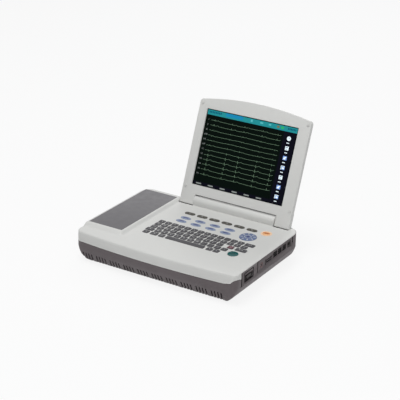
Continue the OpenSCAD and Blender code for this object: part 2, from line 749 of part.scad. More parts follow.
// Crowned rear volume of the housing, drawn in by an inset
module crown(i)
    intersection() {
        screen_outline(i, bezel_t - (i > 0 ? eps : 0), screen_t);
        linear_extrude(screen_h + 2 * arch_rise)
            polygon([[screen_x0 + i, 0], [screen_x0 + i, leg_t - 2 - i], [screen_x0 + 6, leg_t + 0.8 - i],
                [screen_x0 + 45, screen_t - i], [screen_x1 - 45, screen_t - i],
                [screen_x1 - 6, leg_t + 0.8 - i], [screen_x1 - i, leg_t - 2 - i], [screen_x1 - i, 0]]);
        along_x(screen_x0, screen_x1)
            polygon([[0, 0], [leg_t - i, 0], [leg_t - i, notch_s + 2], [screen_t - i, notch_s + 30],
                [screen_t - i, screen_h - 28], [back_end_t - i, back_end_s - i],
                [back_end_t - 5 - i, back_end_s + 8 - i], [0, back_end_s + 8 - i]]);
    }

// Space between the legs for the fixed hinge cover
module leg_notch(margin)
    block([screen_x0 + leg_w - margin, -eps, -eps],
        [screen_x1 - leg_w + margin, screen_t + eps, notch_s + margin]);

// Pocket for one knuckle and its pin, in display coordinates
module knuckle_pocket(x, toward)
    union() {
        block([x + knuckle_inset - fit, hinge_depth - knuckle_t - fit, hinge_rise - knuckle_s - fit],
            [x + leg_w - knuckle_inset + fit, hinge_depth + knuckle_t + fit, hinge_rise + knuckle_s + fit]);
        rod_x(hinge_pin_r + 0.6, toward > 0 ? x + leg_mid : x - eps,
            toward > 0 ? x + leg_w + eps : x + leg_mid, hinge_depth, hinge_rise);
    }

module knuckle_pockets() {
    knuckle_pocket(screen_x0, 1);
    knuckle_pocket(screen_x1 - leg_w, -1);
}

module screen_bezel() color(white) placed() on_screen() difference() {
    screen_outline(0, 0, bezel_t);
    difference() {
        screen_outline(wall, 3, bezel_t + eps);
        leg_notch(wall);
        block([screen_x0, 0, -eps], [screen_x1, bezel_t + 2 * eps, notch_s + wall]);
    }
    block([lcd_cx - lcd_w / 2, -eps, lcd_mid - lcd_h / 2], [lcd_cx + lcd_w / 2, 4, lcd_mid + lcd_h / 2]);
    leg_notch(0);
    knuckle_pockets();
    for (k = [0:2]) rod_y(light_r + 0.1, -eps, 4, light_x0 + light_pitch * k, light_s);
}

module screen_back() color(white) placed() on_screen() difference() {
    crown(0);
    difference() {
        crown(wall);
        block([screen_x0, 0, -eps], [screen_x1, screen_t, notch_s + wall]);
    }
    leg_notch(0);
    knuckle_pockets();
}

module lcd_panel() color(black) placed() on_screen()
    block([lcd_cx - lcd_w / 2 - 7.5, 3.2, lcd_mid - lcd_h / 2 - 7.5],
        [lcd_cx + lcd_w / 2 + 7.5, 11, lcd_mid + lcd_h / 2 + 7.5]);

module status_lights() color("limegreen") placed() on_screen()
    for (k = [0:2]) rod_y(light_r, 0.1, 5, light_x0 + light_pitch * k, light_s);

module screen_bumpers() color("gray") placed() on_screen()
    for (x = [screen_x0 + 8, screen_x1 - 8], s = [notch_s + 18, screen_h - 8])
        rod_y(3.5, -1.7, 0, x, s);

module hinge_knuckles() color(steel) placed() on_screen()
    for (x = [screen_x0, screen_x1 - leg_w])
        difference() {
            block([x + knuckle_inset, hinge_depth - knuckle_t, hinge_rise - knuckle_s],
                [x + leg_w - knuckle_inset, hinge_depth + knuckle_t, hinge_rise + knuckle_s]);
            rod_x(hinge_pin_r + run_gap, x, x + leg_w, hinge_depth, hinge_rise);
        }

// One steel bracket; the pin reaches from inside the cover into the leg on side dir
module hinge_bracket(x, dir) {
    far = x - dir * 20;
    block([min(x, far), axis_y - 7, deck_z + 0.05], [max(x, far), axis_y + 6, deck_z + 2.5]);
    near = x - dir * 7;
    block([min(x, near), axis_y - 5, deck_z + 1], [max(x, near), axis_y + 5, axis_z + 5]);
    tip = x + dir * (leg_w - knuckle_inset - 2);
    rod_x(hinge_pin_r, min(near, tip), max(near, tip), axis_y, axis_z);
}

module hinge_brackets() color(steel) placed() {
    hinge_bracket(cover_x0 + 1, -1);
    hinge_bracket(cover_x1 - 1, 1);
}

// Arch over the hinge axis, between two points along X
module cover_arch(r, z0, x0, x1) {
    rod_x(r, x0, x1, axis_y, axis_z);
    block([x0, axis_y - r, z0], [x1, axis_y + r, axis_z]);
}

module hinge_cover() color(white) placed() difference() {
    cover_arch(cover_r, deck_z, cover_x0, cover_x1);
    cover_arch(cover_r - 2.2, deck_z - eps, cover_x0 - eps, cover_x1 + eps);
    block([cover_x0 - eps, 0, 0], [cover_x1 + eps, body_d + 20, deck_z]);
}

// ---------- printer ----------

module printer_door() color(slate) placed() difference() {
    union() {
        block([door_x0, door_y0, plateau_z - door_t], [door_axis_x, door_y1, plateau_z]);
        rod_y(1.7, door_y0, door_y1, door_axis_x, door_axis_z);
        for (y = [platen_y0 - 0.6 - bearing_t, platen_y1 + 0.6])
            along_y(y, y + bearing_t)
                polygon([[platen_x - 7, plateau_z - 1], [platen_x + 12, plateau_z - 1],
                    [platen_x + 5, platen_z - 5], [platen_x - 5, platen_z - 5]]);
    }
    rod_y(shaft_r + run_gap, door_y0, door_y1, platen_x, platen_z);
    for (y = [door_y0 - eps, door_y1 - door_pin_in - eps])
        rod_y(door_pin_r + run_gap, y, y + door_pin_in + 2 * eps, door_axis_x, door_axis_z);
}

module door_pins() color(steel) placed()
    for (y = [door_y0 - door_pin_out, door_y1 - door_pin_in])
        rod_y(door_pin_r, y, y + door_pin_out + door_pin_in, door_axis_x, door_axis_z);

module platen_roller() color(black) placed() {
    rod_y(platen_r, platen_y0, platen_y1, platen_x, platen_z);
    rod_y(shaft_r, platen_y0 - bearing_t - 1.5, gear_y0 + gear_t + 1, platen_x, platen_z);
    gear(platen_teeth, platen_phase, platen_x, platen_z);
}

module idler_gear() color("ivory") placed() difference() {
    gear(idler_teeth, idler_phase, idler_x, idler_z);
    rod_y(2 + run_gap, gear_y0 - eps, gear_y0 + gear_t + eps, idler_x, idler_z);
}

module motor_pinion() color("goldenrod") placed() difference() {
    union() {
        gear(pinion_teeth, pinion_phase, pinion_x, pinion_z);
        rod_y(3, gear_y0 - 0.6, gear_y0, pinion_x, pinion_z);
    }
    rod_y(1 + run_gap, gear_y0 - eps, gear_y0 + gear_t + eps, pinion_x, pinion_z);
}

module stepper_motor() color(steel) placed() {
    block([pinion_x - motor_w / 2, rib_y0 - motor_l, pinion_z - motor_w / 2],
        [pinion_x + motor_w / 2, rib_y0, pinion_z + motor_w / 2]);
    rod_y(1, rib_y0 - eps, gear_y0 + gear_t + 0.5, pinion_x, pinion_z);
}

module print_head() color(steel) placed() {
    block([platen_x - 4, platen_y0 + 1, head_top - 6], [platen_x + 9, platen_y1 - 1, head_top]);
    block([platen_x + 6, platen_y0 + 1, tray_z0 + tray_t],
        [platen_x + 9, rib_y0 - motor_l - 4, head_top - 3]);
}

module tray_volume(i, top)
    polygon([[tray_x0 + i, top], [tray_x0 + i, tray_chine_z + i / 2], [tray_chine_x + i / 2, tray_z0 + i],
        [tray_x1 - i, tray_z0 + i], [tray_x1 - i, top]]);

module paper_tray() color(black) placed() difference() {
    union() {
        difference() {
            along_y(tray_y0, tray_y1) tray_volume(0, tray_z1);
            along_y(tray_y0 + tray_t, tray_y1 - tray_t) tray_volume(tray_t, tray_z1 + eps);
        }
        block([pinion_x - motor_w / 2 - 2, rib_y0, tray_z0 + 1],
            [pinion_x + motor_w / 2 + 2, rib_y0 + rib_t, idler_z + 4]);
        rod_y(2, rib_y0 + 1, gear_y0 + gear_t + 0.5, idler_x, idler_z);
        for (y = [tray_y0 + 1, tray_y1 - tray_t - cradle_t])
            block([roll_x - 10, y, tray_z0 + 1], [roll_x + 10, y + cradle_t + 1, roll_z + 2]);
    }
    rod_y(spindle_r + run_gap, tray_y0 + tray_t, tray_y1 - tray_t, roll_x, roll_z);
    block([roll_x - spindle_r - run_gap, tray_y0 + tray_t, roll_z],
        [roll_x + spindle_r + run_gap, tray_y1 - tray_t, roll_z + 10]);
    rod_y(1.4, rib_y0 - eps, rib_y0 + rib_t + eps, pinion_x, pinion_z);
}

module paper_roll() color("whitesmoke") placed() {
    difference() {
        rod_y(roll_r, roll_y0, roll_y0 + paper_w, roll_x, roll_z);
        rod_y(core_r, roll_y0 - eps, roll_y0 + paper_w + eps, roll_x, roll_z);
    }
    rod_y(core_r, roll_y0, roll_y0 + paper_w, roll_x, roll_z);
    rod_y(spindle_r, tray_y0 + tray_t + 0.4, tray_y1 - tray_t - 0.4, roll_x, roll_z);
}

// ---------- keyboard ----------

// One key of a row grown by g, between two heights
module key_block(r, k, g, z0, z1) {
    x = row_x0 + k[0] * key_pitch;
    y = row1_y - r * row_pitch;
    w = key_w + (k[1] - 1) * key_pitch;
    block([x - w / 2 - g, y - key_d / 2 - g, z0], [x + w / 2 + g, y + key_d / 2 + g, z1]);
}

module key_row(r) color(key_grey) placed()
    for (k = row_keys[r]) {
        key_block(r, k, 0, flange_z - flange_t, key_top);
        key_block(r, k, flange_out, flange_z - flange_t, flange_z);
    }

module soft_key(i) color(key_grey) placed()
    translate([soft_x0 + i * soft_pitch, soft_y, flange_z - flange_t]) {
        stadium(soft_key_l, soft_key_d, key_top - flange_z + flange_t);
        stadium(soft_key_l + 2 * flange_out, soft_key_d + 2 * flange_out, flange_t);
    }

module oval_key(i) color(key_blue) placed()
    translate([oval_x0 + (i % oval_cols) * oval_pitch, oval_y[floor(i / oval_cols)], flange_z - flange_t]) {
        oval(oval_key_l, oval_key_d, key_top - flange_z + flange_t);
        oval(oval_key_l + 2 * flange_out, oval_key_d + 2 * flange_out, flange_t);
    }

module round_button(at, r) {
    rod_z(r, flange_z - flange_t, key_top, at[0], at[1]);
    rod_z(r + flange_out, flange_z - flange_t, flange_z, at[0], at[1]);
}

module nav_pad() color("slateblue") placed() round_button(nav_at, nav_r);
module power_button() color("darkorange") placed() round_button(power_at, power_r);
module print_button() color("teal") placed() round_button(print_at, print_r);

module keypad_mat() color("gray") placed()
    block([board_x0 + 8, board_y0 + 4, board_top], [board_x1 - 8, board_y1 - 4, mat_top]);

module keyboard_board() color(pcb_green) placed()
    block([board_x0, board_y0, board_top - pcb_t], [board_x1, board_y1, board_top]);

// ---------- electronics ----------

module main_board() color(pcb_green) placed() {
    x = mainboard_at[0];
    y = mainboard_at[1];
    block([x, y, mainboard_z], [x + mainboard[0], y + mainboard[1], mainboard_z + pcb_t]);
    for (c = chips)
        block([x + c[0], y + c[1], mainboard_z + 1],
            [x + c[0] + c[2], y + c[1] + c[3], mainboard_z + 1 + c[4]]);
    for (k = [0:3])
        rod_z(capacitor_r, mainboard_z + 1, mainboard_z + 1 + capacitor_h,
            x + capacitor_at[0], y + capacitor_at[1] + capacitor_pitch * k);
}

module ecg_board() color(pcb_green) placed() {
    x = ecg_board_at[0];
    y = ecg_board_at[1];
    block([x, y, mainboard_z], [x + ecg_board_size[0], y + ecg_board_size[1], mainboard_z + pcb_t]);
    block([x + shield_margin, y + shield_margin, mainboard_z + 1],
        [x + ecg_board_size[0] - shield_margin - 2, y + ecg_board_size[1] - shield_margin,
            mainboard_z + 1 + shield_h]);
}

module power_supply() color(steel) placed()
    block([supply_at[0], supply_at[1], floor_z],
        [supply_at[0] + supply[0], supply_at[1] + supply[1], floor_z + supply[2]]);

module speaker() color(black) placed() {
    rod_z(speaker_r, floor_z, floor_z + 4, speaker_at[0], speaker_at[1]);
    rod_z(10, floor_z + 3, floor_z + 13, speaker_at[0], speaker_at[1]);
}

lower_shell();
upper_shell();
port_panel();
ecg_socket();
usb_ports();
lan_port();
card_reader();
audio_jack();
hinge_cover();
hinge_brackets();
screen_bezel();
screen_back();
lcd_panel();
hinge_knuckles();
status_lights();
screen_bumpers();
printer_door();
door_pins();
platen_roller();
print_head();
stepper_motor();
motor_pinion();
idler_gear();
paper_roll();
paper_tray();
keypad_mat();
keyboard_board();
key_row(0);  // key_row_1
key_row(1);  // key_row_2
key_row(2);  // key_row_3
key_row(3);  // key_row_4
key_row(4);  // key_row_5
soft_key(0);  // soft_key_1
soft_key(1);  // soft_key_2
soft_key(2);  // soft_key_3
soft_key(3);  // soft_key_4
soft_key(4);  // soft_key_5
soft_key(5);  // soft_key_6
oval_key(0);  // oval_key_1
oval_key(1);  // oval_key_2
oval_key(2);  // oval_key_3
oval_key(3);  // oval_key_4
oval_key(4);  // oval_key_5
oval_key(5);  // oval_key_6
oval_key(6);  // oval_key_7
oval_key(7);  // oval_key_8
nav_pad();
power_button();
print_button();
main_board();
ecg_board();
power_supply();
battery_pack();
battery_door();
speaker();
mains_inlet();
mains_switch();
ground_post();
rubber_feet();
case_screws();
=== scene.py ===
"""Looks of the portable ECG recorder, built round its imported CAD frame. Metres throughout;
sizes written in millimetres are turned into metres by MM, BODY_MM and SCREEN_MM."""
import json
import math

import bmesh
import bpy
from mathutils import Matrix, Vector

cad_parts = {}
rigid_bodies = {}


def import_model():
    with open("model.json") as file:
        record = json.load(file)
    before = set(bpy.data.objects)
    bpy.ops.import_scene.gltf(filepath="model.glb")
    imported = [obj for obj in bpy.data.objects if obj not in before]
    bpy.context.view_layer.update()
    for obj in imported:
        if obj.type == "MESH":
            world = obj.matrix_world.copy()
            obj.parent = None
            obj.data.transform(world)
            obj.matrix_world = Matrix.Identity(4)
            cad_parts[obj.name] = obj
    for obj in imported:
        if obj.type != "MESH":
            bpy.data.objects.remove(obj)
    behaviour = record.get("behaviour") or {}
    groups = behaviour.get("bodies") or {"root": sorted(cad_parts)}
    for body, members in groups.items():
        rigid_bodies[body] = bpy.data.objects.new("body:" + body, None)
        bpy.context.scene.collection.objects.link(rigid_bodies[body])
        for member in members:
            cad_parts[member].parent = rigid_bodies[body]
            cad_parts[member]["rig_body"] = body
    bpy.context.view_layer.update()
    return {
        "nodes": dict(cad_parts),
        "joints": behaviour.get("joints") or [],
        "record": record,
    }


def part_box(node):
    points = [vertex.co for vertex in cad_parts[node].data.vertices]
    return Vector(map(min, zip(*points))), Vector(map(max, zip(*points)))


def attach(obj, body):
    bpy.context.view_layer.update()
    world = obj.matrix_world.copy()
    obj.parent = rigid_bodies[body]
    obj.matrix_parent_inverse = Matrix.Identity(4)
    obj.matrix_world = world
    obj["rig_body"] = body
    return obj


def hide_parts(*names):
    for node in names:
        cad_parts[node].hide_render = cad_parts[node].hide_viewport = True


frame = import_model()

MM = 0.001
NODES = frame["nodes"]
JOINTS = {j["name"]: j for j in frame["joints"]}

# ---- driving sizes, millimetres
SHELL_LOW, SHELL_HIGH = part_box("lower_shell")
FRONT_BOW, CORNER_BACK = 9.5, 3.0  # how far the front bows out, and where that starts
BOW_OUT = FRONT_BOW - CORNER_BACK
FRONT_Y = SHELL_LOW.y + BOW_OUT * MM  # metres: y of the body's front datum line
HALF_W = (SHELL_HIGH.x - SHELL_LOW.x) / 2 / MM
BODY_D = (SHELL_HIGH.y - SHELL_LOW.y) / MM - BOW_OUT
PARTING_Z = SHELL_HIGH.z / MM
DECK_Z = 74.4
PLATEAU_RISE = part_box("upper_shell")[1].z / MM - DECK_Z
WALL = 2.5
HINGE = Vector(JOINTS["screen_hinge"]["pos_m"])
TILT = math.radians(21.4)
HINGE_DEPTH, HINGE_RISE = 6.6, 12.0
LEG_W = 39.4
NOTCH_S = 2 * HINGE_RISE + 1.5
LEG_T = 2 * HINGE_DEPTH
BEZEL_T, SCREEN_T = 7.0, 19.0
SCREEN_H, ARCH_RISE = 252.7, 15.0
SCREEN_X0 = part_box("screen_bezel")[0].x / MM
SCREEN_X1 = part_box("screen_bezel")[1].x / MM
LCD_W, LCD_H = 245.8, 184.3
LCD_CX = (SCREEN_X0 + SCREEN_X1) / 2 - 3.3
LCD_S0 = 49.0
LCD_T = 3.2  # depth of the display's face
PANEL_LOW, PANEL_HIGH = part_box("port_panel")

SCREEN_FRAME = (Matrix.Translation(HINGE) @ Matrix.Rotation(-TILT, 4, "X")
                @ Matrix.Translation((0, -HINGE_DEPTH * MM, -HINGE_RISE * MM)))
BODY_FRAME = Matrix.Translation((0, FRONT_Y, 0))
BODY_MM = BODY_FRAME @ Matrix.Scale(MM, 4)  # takes millimetres in the body's frame to metres
SCREEN_MM = SCREEN_FRAME @ Matrix.Scale(MM, 4)  # the same from the display's frame


def body_mm(point):
    """x, y and z of a point of the frame, in millimetres in the body's frame."""
    return point.x / MM, (point.y - FRONT_Y) / MM, point.z / MM


# ---- camera, light and stage
CAMERA_MM = (1451.15, -2141.37, 1306.48)  # in the body's frame
CAMERA_YAW, CAMERA_PITCH, CAMERA_ROLL = 31.83, 23.13, 0.9
FOCAL_PX, PHOTO_PX, SENSOR_MM = 1297.3, 400, 36.0
LAMP_SIZE = 1.4


def new_object(name, data):
    obj = bpy.data.objects.new(name, data)
    bpy.context.scene.collection.objects.link(obj)
    return obj


def make_camera():
    yaw, pitch, roll = (math.radians(a) for a in (CAMERA_YAW, CAMERA_PITCH, CAMERA_ROLL))
    ahead = Vector((-math.sin(yaw) * math.cos(pitch), math.cos(yaw) * math.cos(pitch), -math.sin(pitch)))
    right = Vector((math.cos(yaw), math.sin(yaw), 0))
    up = right.cross(ahead)
    side = right * math.cos(roll) + up * math.sin(roll)
    top = up * math.cos(roll) - right * math.sin(roll)
    data = bpy.data.cameras.new("camera")
    data.sensor_width = SENSOR_MM
    data.lens = FOCAL_PX / PHOTO_PX * SENSOR_MM
    data.clip_start, data.clip_end = 0.05, 50
    camera = new_object("camera", data)
    turn = Matrix((side, top, -ahead)).transposed().to_4x4()
    camera.matrix_world = Matrix.Translation(BODY_FRAME @ (Vector(CAMERA_MM) * MM)) @ turn
    bpy.context.scene.camera = camera


def area_light(name, at, target, power):
    data = bpy.data.lights.new(name, "AREA")
    data.shape = "DISK"
    data.size = LAMP_SIZE
    data.energy = power
    lamp = new_object(name, data)
    lamp.location = at
    lamp.rotation_euler = (Vector(target) - Vector(at)).to_track_quat("-Z", "Y").to_euler()


def camera_white(tree, shader_out, surface_in, white):
    """Shows a plain white to the camera, mirrors and glass, and the given shader to all other rays."""
    path = tree.nodes.new("ShaderNodeLightPath")
    seen = path.outputs["Is Camera Ray"]
    for ray in ("Is Glossy Ray", "Is Transmission Ray"):
        either = tree.nodes.new("ShaderNodeMath")
        either.operation = "MAXIMUM"
        tree.links.new(seen, either.inputs[0])
        tree.links.new(path.outputs[ray], either.inputs[1])
        seen = either.outputs[0]
    mix = tree.nodes.new("ShaderNodeMixShader")
    tree.links.new(seen, mix.inputs[0])
    tree.links.new(shader_out, mix.inputs[1])
    tree.links.new(white.outputs[0], mix.inputs[2])
    tree.links.new(mix.outputs[0], surface_in)


AMBIENT, FLOOR_EDGE = 0.42, 6.0
FLOOR_GLOW = 0.86  # share of plain white that the camera sees on the floor


def make_world():
    world = bpy.data.worlds.new("studio")
    bpy.context.scene.world = world
    world.use_nodes = True
    tree = world.node_tree
    ambient = tree.nodes["Background"]
    put(ambient, {"Color": (0.97, 0.985, 1.0, 1), "Strength": AMBIENT})
    white = tree.nodes.new("ShaderNodeBackground")
    put(white, {"Color": (1, 1, 1, 1), "Strength": 1.0})
    camera_white(tree, ambient.outputs[0], tree.nodes["World Output"].inputs[0], white)


def make_floor():
    mesh = bpy.data.meshes.new("floor")
    mesh.from_pydata([(x, y, 0) for x, y in rect(-FLOOR_EDGE, -FLOOR_EDGE, FLOOR_EDGE, FLOOR_EDGE)], [],
                     [(0, 1, 2, 3)])
    floor = new_object("floor", mesh)
    material, tree, principled = new_material("floor_paper")
    put(principled, {"Base Color": (0.8, 0.8, 0.8, 1), "Roughness": 0.9, "Specular IOR Level": 0.1})
    white = tree.nodes.new("ShaderNodeEmission")
    paper_white = tree.nodes.new("ShaderNodeMixShader")
    paper_white.inputs[0].default_value = FLOOR_GLOW
    tree.links.new(principled.outputs[0], paper_white.inputs[1])
    tree.links.new(white.outputs[0], paper_white.inputs[2])
    camera_white(tree, principled.outputs[0], tree.nodes["Material Output"].inputs[0], paper_white)
    mesh.materials.append(material)


# ---- materials
def new_material(name):
    material = bpy.data.materials.new(name)
    material.use_nodes = True
    tree = material.node_tree
    return material, tree, tree.nodes["Principled BSDF"]


def put(node, values):
    """Sets the inputs of a shader node by name."""
    for name, value in values.items():
        node.inputs[name].default_value = value


def on_object(tree, kind, values):
    """A texture or mapping node on the object's own coordinates."""
    node = tree.nodes.new("ShaderNode" + kind)
    put(node, values)
    place = tree.nodes.new("ShaderNodeTexCoord")
    tree.links.new(place.outputs["Object"], node.inputs["Vector"])
    return node


def noise(tree, scale, detail=3.0):
    return on_object(tree, "TexNoise", {"Scale": scale, "Detail": detail, "Roughness": 0.55}).outputs["Fac"]


NOISE_LOW, NOISE_HIGH = 0.3, 0.7  # the range of a noise that colours and gloss follow


def ramp(tree, factor, low, high):
    """Colour that follows a noise."""
    node = tree.nodes.new("ShaderNodeValToRGB")
    for element, position, color in zip(node.color_ramp.elements, (NOISE_LOW, NOISE_HIGH), (low, high)):
        element.position = position
        element.color = (*color, 1)
    tree.links.new(factor, node.inputs["Fac"])
    return node.outputs["Color"]


def span(tree, factor, low, high):
    """Value that follows a noise."""
    node = tree.nodes.new("ShaderNodeMapRange")
    put(node, {"From Min": NOISE_LOW, "From Max": NOISE_HIGH, "To Min": low, "To Max": high})
    tree.links.new(factor, node.inputs["Value"])
    return node.outputs["Result"]


def bump(tree, shader, height, depth_mm, strength):
    node = tree.nodes.new("ShaderNodeBump")
    put(node, {"Distance": depth_mm * MM, "Strength": strength})
    tree.links.new(height, node.inputs["Height"])
    tree.links.new(node.outputs["Normal"], shader.inputs["Normal"])


def shade(color, factor):
    return tuple(min(1.0, c * factor) for c in color)


def moulded(name, color, rough=0.5, grain=2200, depth_mm=0.03, mottle=0.03, coat=0.0, level=0.5):
    """Injection-moulded plastic or rubber: fine spark-eroded grain, faint mottling and uneven gloss."""
    material, tree, shader = new_material(name)
    cloud = ramp(tree, noise(tree, 14, 4), shade(color, 1 - mottle), shade(color, 1 + mottle))
    gloss = span(tree, noise(tree, 60, 2), rough - 0.05, rough + 0.05)
    tree.links.new(cloud, shader.inputs["Base Color"])
    tree.links.new(gloss, shader.inputs["Roughness"])
    put(shader, {"Coat Weight": coat, "Coat Roughness": 0.2, "Specular IOR Level": level})
    bump(tree, shader, noise(tree, grain, 2), depth_mm, 0.6)
    return material


def metal(name, color, rough, brush=(1, 1, 60)):
    """Brushed or plated metal: streaks stretched along one axis."""
    material, tree, shader = new_material(name)
    stretch = on_object(tree, "Mapping", {"Scale": brush})
    streaks = tree.nodes.new("ShaderNodeTexNoise")
    put(streaks, {"Scale": 40, "Detail": 4})
    tree.links.new(stretch.outputs["Vector"], streaks.inputs["Vector"])
    fac = streaks.outputs["Fac"]
    tree.links.new(ramp(tree, fac, shade(color, 0.85), shade(color, 1.05)), shader.inputs["Base Color"])
    tree.links.new(span(tree, fac, rough - 0.08, rough + 0.1), shader.inputs["Roughness"])
    shader.inputs["Metallic"].default_value = 1.0
    bump(tree, shader, fac, 0.01, 0.4)
    return material


def board(name, color):
    """Circuit board: solder mask over a web of tracks."""
    material, tree, shader = new_material(name)
    tracks = on_object(tree, "TexBrick", {
        "Scale": 160, "Color1": (*color, 1), "Color2": (*shade(color, 1.25), 1),
        "Mortar": (*shade(color, 0.6), 1)})
    tree.links.new(tracks.outputs["Color"], shader.inputs["Base Color"])
    shader.inputs["Roughness"].default_value = 0.35
    bump(tree, shader, tracks.outputs["Fac"], 0.02, 0.5)
    return material


def paper(name, color, line):
    """Heat-sensitive chart paper with its fine grid."""
    material, tree, shader = new_material(name)
    grid = on_object(tree, "TexBrick", {
        "Scale": 100, "Brick Width": 0.5, "Row Height": 0.5, "Mortar Size": 0.02, "Color1": (*color, 1),
        "Color2": (*color, 1), "Mortar": (*line, 1)})
    grid.offset = 0.0
    tree.links.new(grid.outputs["Color"], shader.inputs["Base Color"])
    shader.inputs["Roughness"].default_value = 0.8
    bump(tree, shader, noise(tree, 1500), 0.01, 0.5)
    return material


def glowing(name, color):
    """A lit area of the display."""
    material, tree, shader = new_material(name)
    flicker = ramp(tree, noise(tree, 220, 2), shade(color, 0.9), shade(color, 1.05))
    tree.links.new(flicker, shader.inputs["Emission Color"])
    put(shader, {"Base Color": (*shade(color, 0.3), 1), "Emission Strength": 1.0, "Specular IOR Level": 0.05,
                 "Roughness": 0.35})
    return material


WHITE = (0.625, 0.625, 0.607)
DARK = (0.108, 0.09, 0.095)
MAT = {
    "white_shell": moulded("white_plastic", WHITE, 0.46, 2600, 0.02, 0.012, level=0.4),
    "dark_shell": moulded("dark_plastic", DARK, 0.5, 1500, 0.05, 0.06, level=0.45),
    "side_panel": moulded("side_plastic", shade(DARK, 0.86), 0.42, 1800, 0.04, 0.06),
    "door_grey": moulded("door_plastic", (0.116, 0.112, 0.12), 0.42, 2000, 0.02, 0.03, level=0.4),
    "key_grey": moulded("key_silicone", (0.072, 0.07, 0.076), 0.6, 3000, 0.015, 0.05, level=0.3),
    "key_blue": moulded("blue_silicone", (0.25, 0.3, 0.42), 0.55, 3000, 0.015, 0.05, level=0.3),
    "nav_blue": moulded("pad_silicone", (0.13, 0.17, 0.29), 0.55, 3000, 0.015, 0.05, level=0.3),
    "power_orange": moulded("orange_plastic", (0.88, 0.5, 0.25), 0.3, 3000, 0.01, 0.04, coat=0.3),
    "print_teal": moulded("teal_plastic", (0.004, 0.082, 0.08), 0.3, 3000, 0.01, 0.06),
    "black_plastic": moulded("black_plastic", (0.018, 0.018, 0.019), 0.5, 1600, 0.04, 0.1),
    # black rubber of the feet, also used as painted shade in the hinge pockets and in the slit above the
    # hinge cover
    "black_rubber": moulded("black_rubber", (0.016, 0.016, 0.017), 0.75, 900, 0.06, 0.15, level=0.3),
    "grey_rubber": moulded("grey_rubber", shade(WHITE, 0.95), 0.6, 900, 0.04, 0.04, level=0.3),
    "steel": metal("brushed_steel", (0.55, 0.56, 0.58), 0.32),
    "plated": metal("nickel_plate", (0.62, 0.61, 0.58), 0.25, (1, 30, 1)),
    "cast_head": metal("cast_aluminium", (0.6, 0.61, 0.62), 0.42, (1, 20, 1)),
    "brass": metal("turned_brass", (0.68, 0.5, 0.2), 0.28, (1, 50, 1)),
    "gear_white": moulded("acetal", (0.72, 0.7, 0.62), 0.4, 2000, 0.02, 0.02),
    "lcd": moulded("display_black", (0.004, 0.006, 0.005), 0.3, 4000, 0.002, 0.1, level=0.06),
    "led": moulded("led_lens", (0.12, 0.5, 0.14), 0.15, 3000, 0.01, 0.05, coat=0.5),
    "board_green": board("solder_mask", (0.01, 0.11, 0.045)),
    "battery_wrap": moulded("battery_wrap", (0.04, 0.1, 0.33), 0.3, 600, 0.05, 0.08),
    "paper": paper("chart_paper", (0.8, 0.78, 0.76), (0.75, 0.45, 0.42)),
}
GLASS_BLACK = moulded("glass_black", (0.001, 0.004, 0.0025), 0.3, 4000, 0.001, 0.1, level=0.03)
DULL_METAL = metal("dull_metal", (0.07, 0.066, 0.066), 0.5, (1, 8, 1))
SOFT_GREY = moulded("soft_silicone", (0.08, 0.076, 0.066), 0.6, 3000, 0.015, 0.05, level=0.3)
LEGEND_WHITE = moulded("legend_white", (0.6, 0.6, 0.6), 0.5, 3000, 0.005, 0.02)
LEGEND_NAVY = moulded("legend_navy", (0.045, 0.055, 0.17), 0.5, 3000, 0.005, 0.05)
# black of the socket surrounds, also used as painted shade in the panel's gaps and slits and behind the air
# slots
BLACK_AND_PAINTED_SHADE = moulded("black_and_painted_shade", (0.005, 0.004, 0.005), 0.7, 1600, 0.02, 0.1, level=0.08)
HALO = moulded("halo_peach", (0.88, 0.62, 0.42), 0.35, 3000, 0.005, 0.01)


def dress_frame():
    """Gives every CAD node the material of its slot."""
    for part in frame["record"]["subparts"]:
        node = NODES[part["node"]]
        node.data.materials.clear()
        node.data.materials.append(MAT[part["material_slot"]])


# ---- mesh helpers
def add_piece(name, mesh, material, body, stands_for=()):
    mesh.materials.clear()
    mesh.materials.append(material)
    piece = new_object(name, mesh)
    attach(piece, body)
    if stands_for:
        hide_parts(*stands_for)


def plain_mesh(name, bm):
    """A mesh out of a bmesh, which is freed."""
    mesh = bpy.data.meshes.new(name)
    bm.to_mesh(mesh)
    bm.free()
    return mesh


def to_mesh(name, bm, matrix, sharp_deg=35):
    bmesh.ops.recalc_face_normals(bm, faces=bm.faces)
    bm.transform(matrix)
    mesh = plain_mesh(name, bm)
    mesh.shade_smooth()
    mesh.set_sharp_from_angle(angle=math.radians(sharp_deg))
    return mesh


def body_piece(name, bm, material, body="base", stands_for=()):
    """A piece out of a bmesh in millimetres in the body's frame."""
    add_piece(name, to_mesh(name, bm, BODY_MM), material, body, stands_for)


def body_finish(node, bm, slot, sharp_deg=35):
    """A shell of the body that stands for its CAD node."""
    mesh = to_mesh(node + "_finish", tidy(bm, FLAT_DEG), BODY_MM, sharp_deg)
    add_piece(node + "_finish", mesh, MAT[slot], "base", (node,))


def screen_piece(name, bm, material):
    """A piece out of a bmesh in millimetres in the display's frame."""
    add_piece(name, to_mesh(name, bm, SCREEN_MM), material, "screen")


def screen_finish(node, bm, sharp_deg):
    """A shell of the display housing that stands for its CAD node."""
    mesh = to_mesh(node + "_finish", tidy(bm, FLAT_DEG), SCREEN_MM, sharp_deg)
    add_piece(node + "_finish", mesh, MAT["white_shell"], "screen", (node,))


def loft(rings):
    """Closed solid through rings of equally many points."""
    bm = bmesh.new()
    made = [[bm.verts.new(p) for p in ring] for ring in rings]
    count = len(rings[0])
    for low, high in zip(made, made[1:]):
        for i in range(count):
            j = (i + 1) % count
            bm.faces.new((low[i], low[j], high[j], high[i]))
    bm.faces.new(made[0])
    bm.faces.new(made[-1])
    bmesh.ops.recalc_face_normals(bm, faces=bm.faces)
    return bm


def prism(outline, low, high, axis="z"):
    """Closed prism over an outline of 2D points, from low to high along the axis."""
    at = "xyz".index(axis)
    return loft([[(*p[:at], h, *p[at:]) for p in outline] for h in (low, high)])


def evenly(start, end, steps):
    return [start + (end - start) * k / steps for k in range(steps + 1)]


def rect(u0, v0, u1, v1):
    return [(u0, v0), (u1, v0), (u1, v1), (u0, v1)]


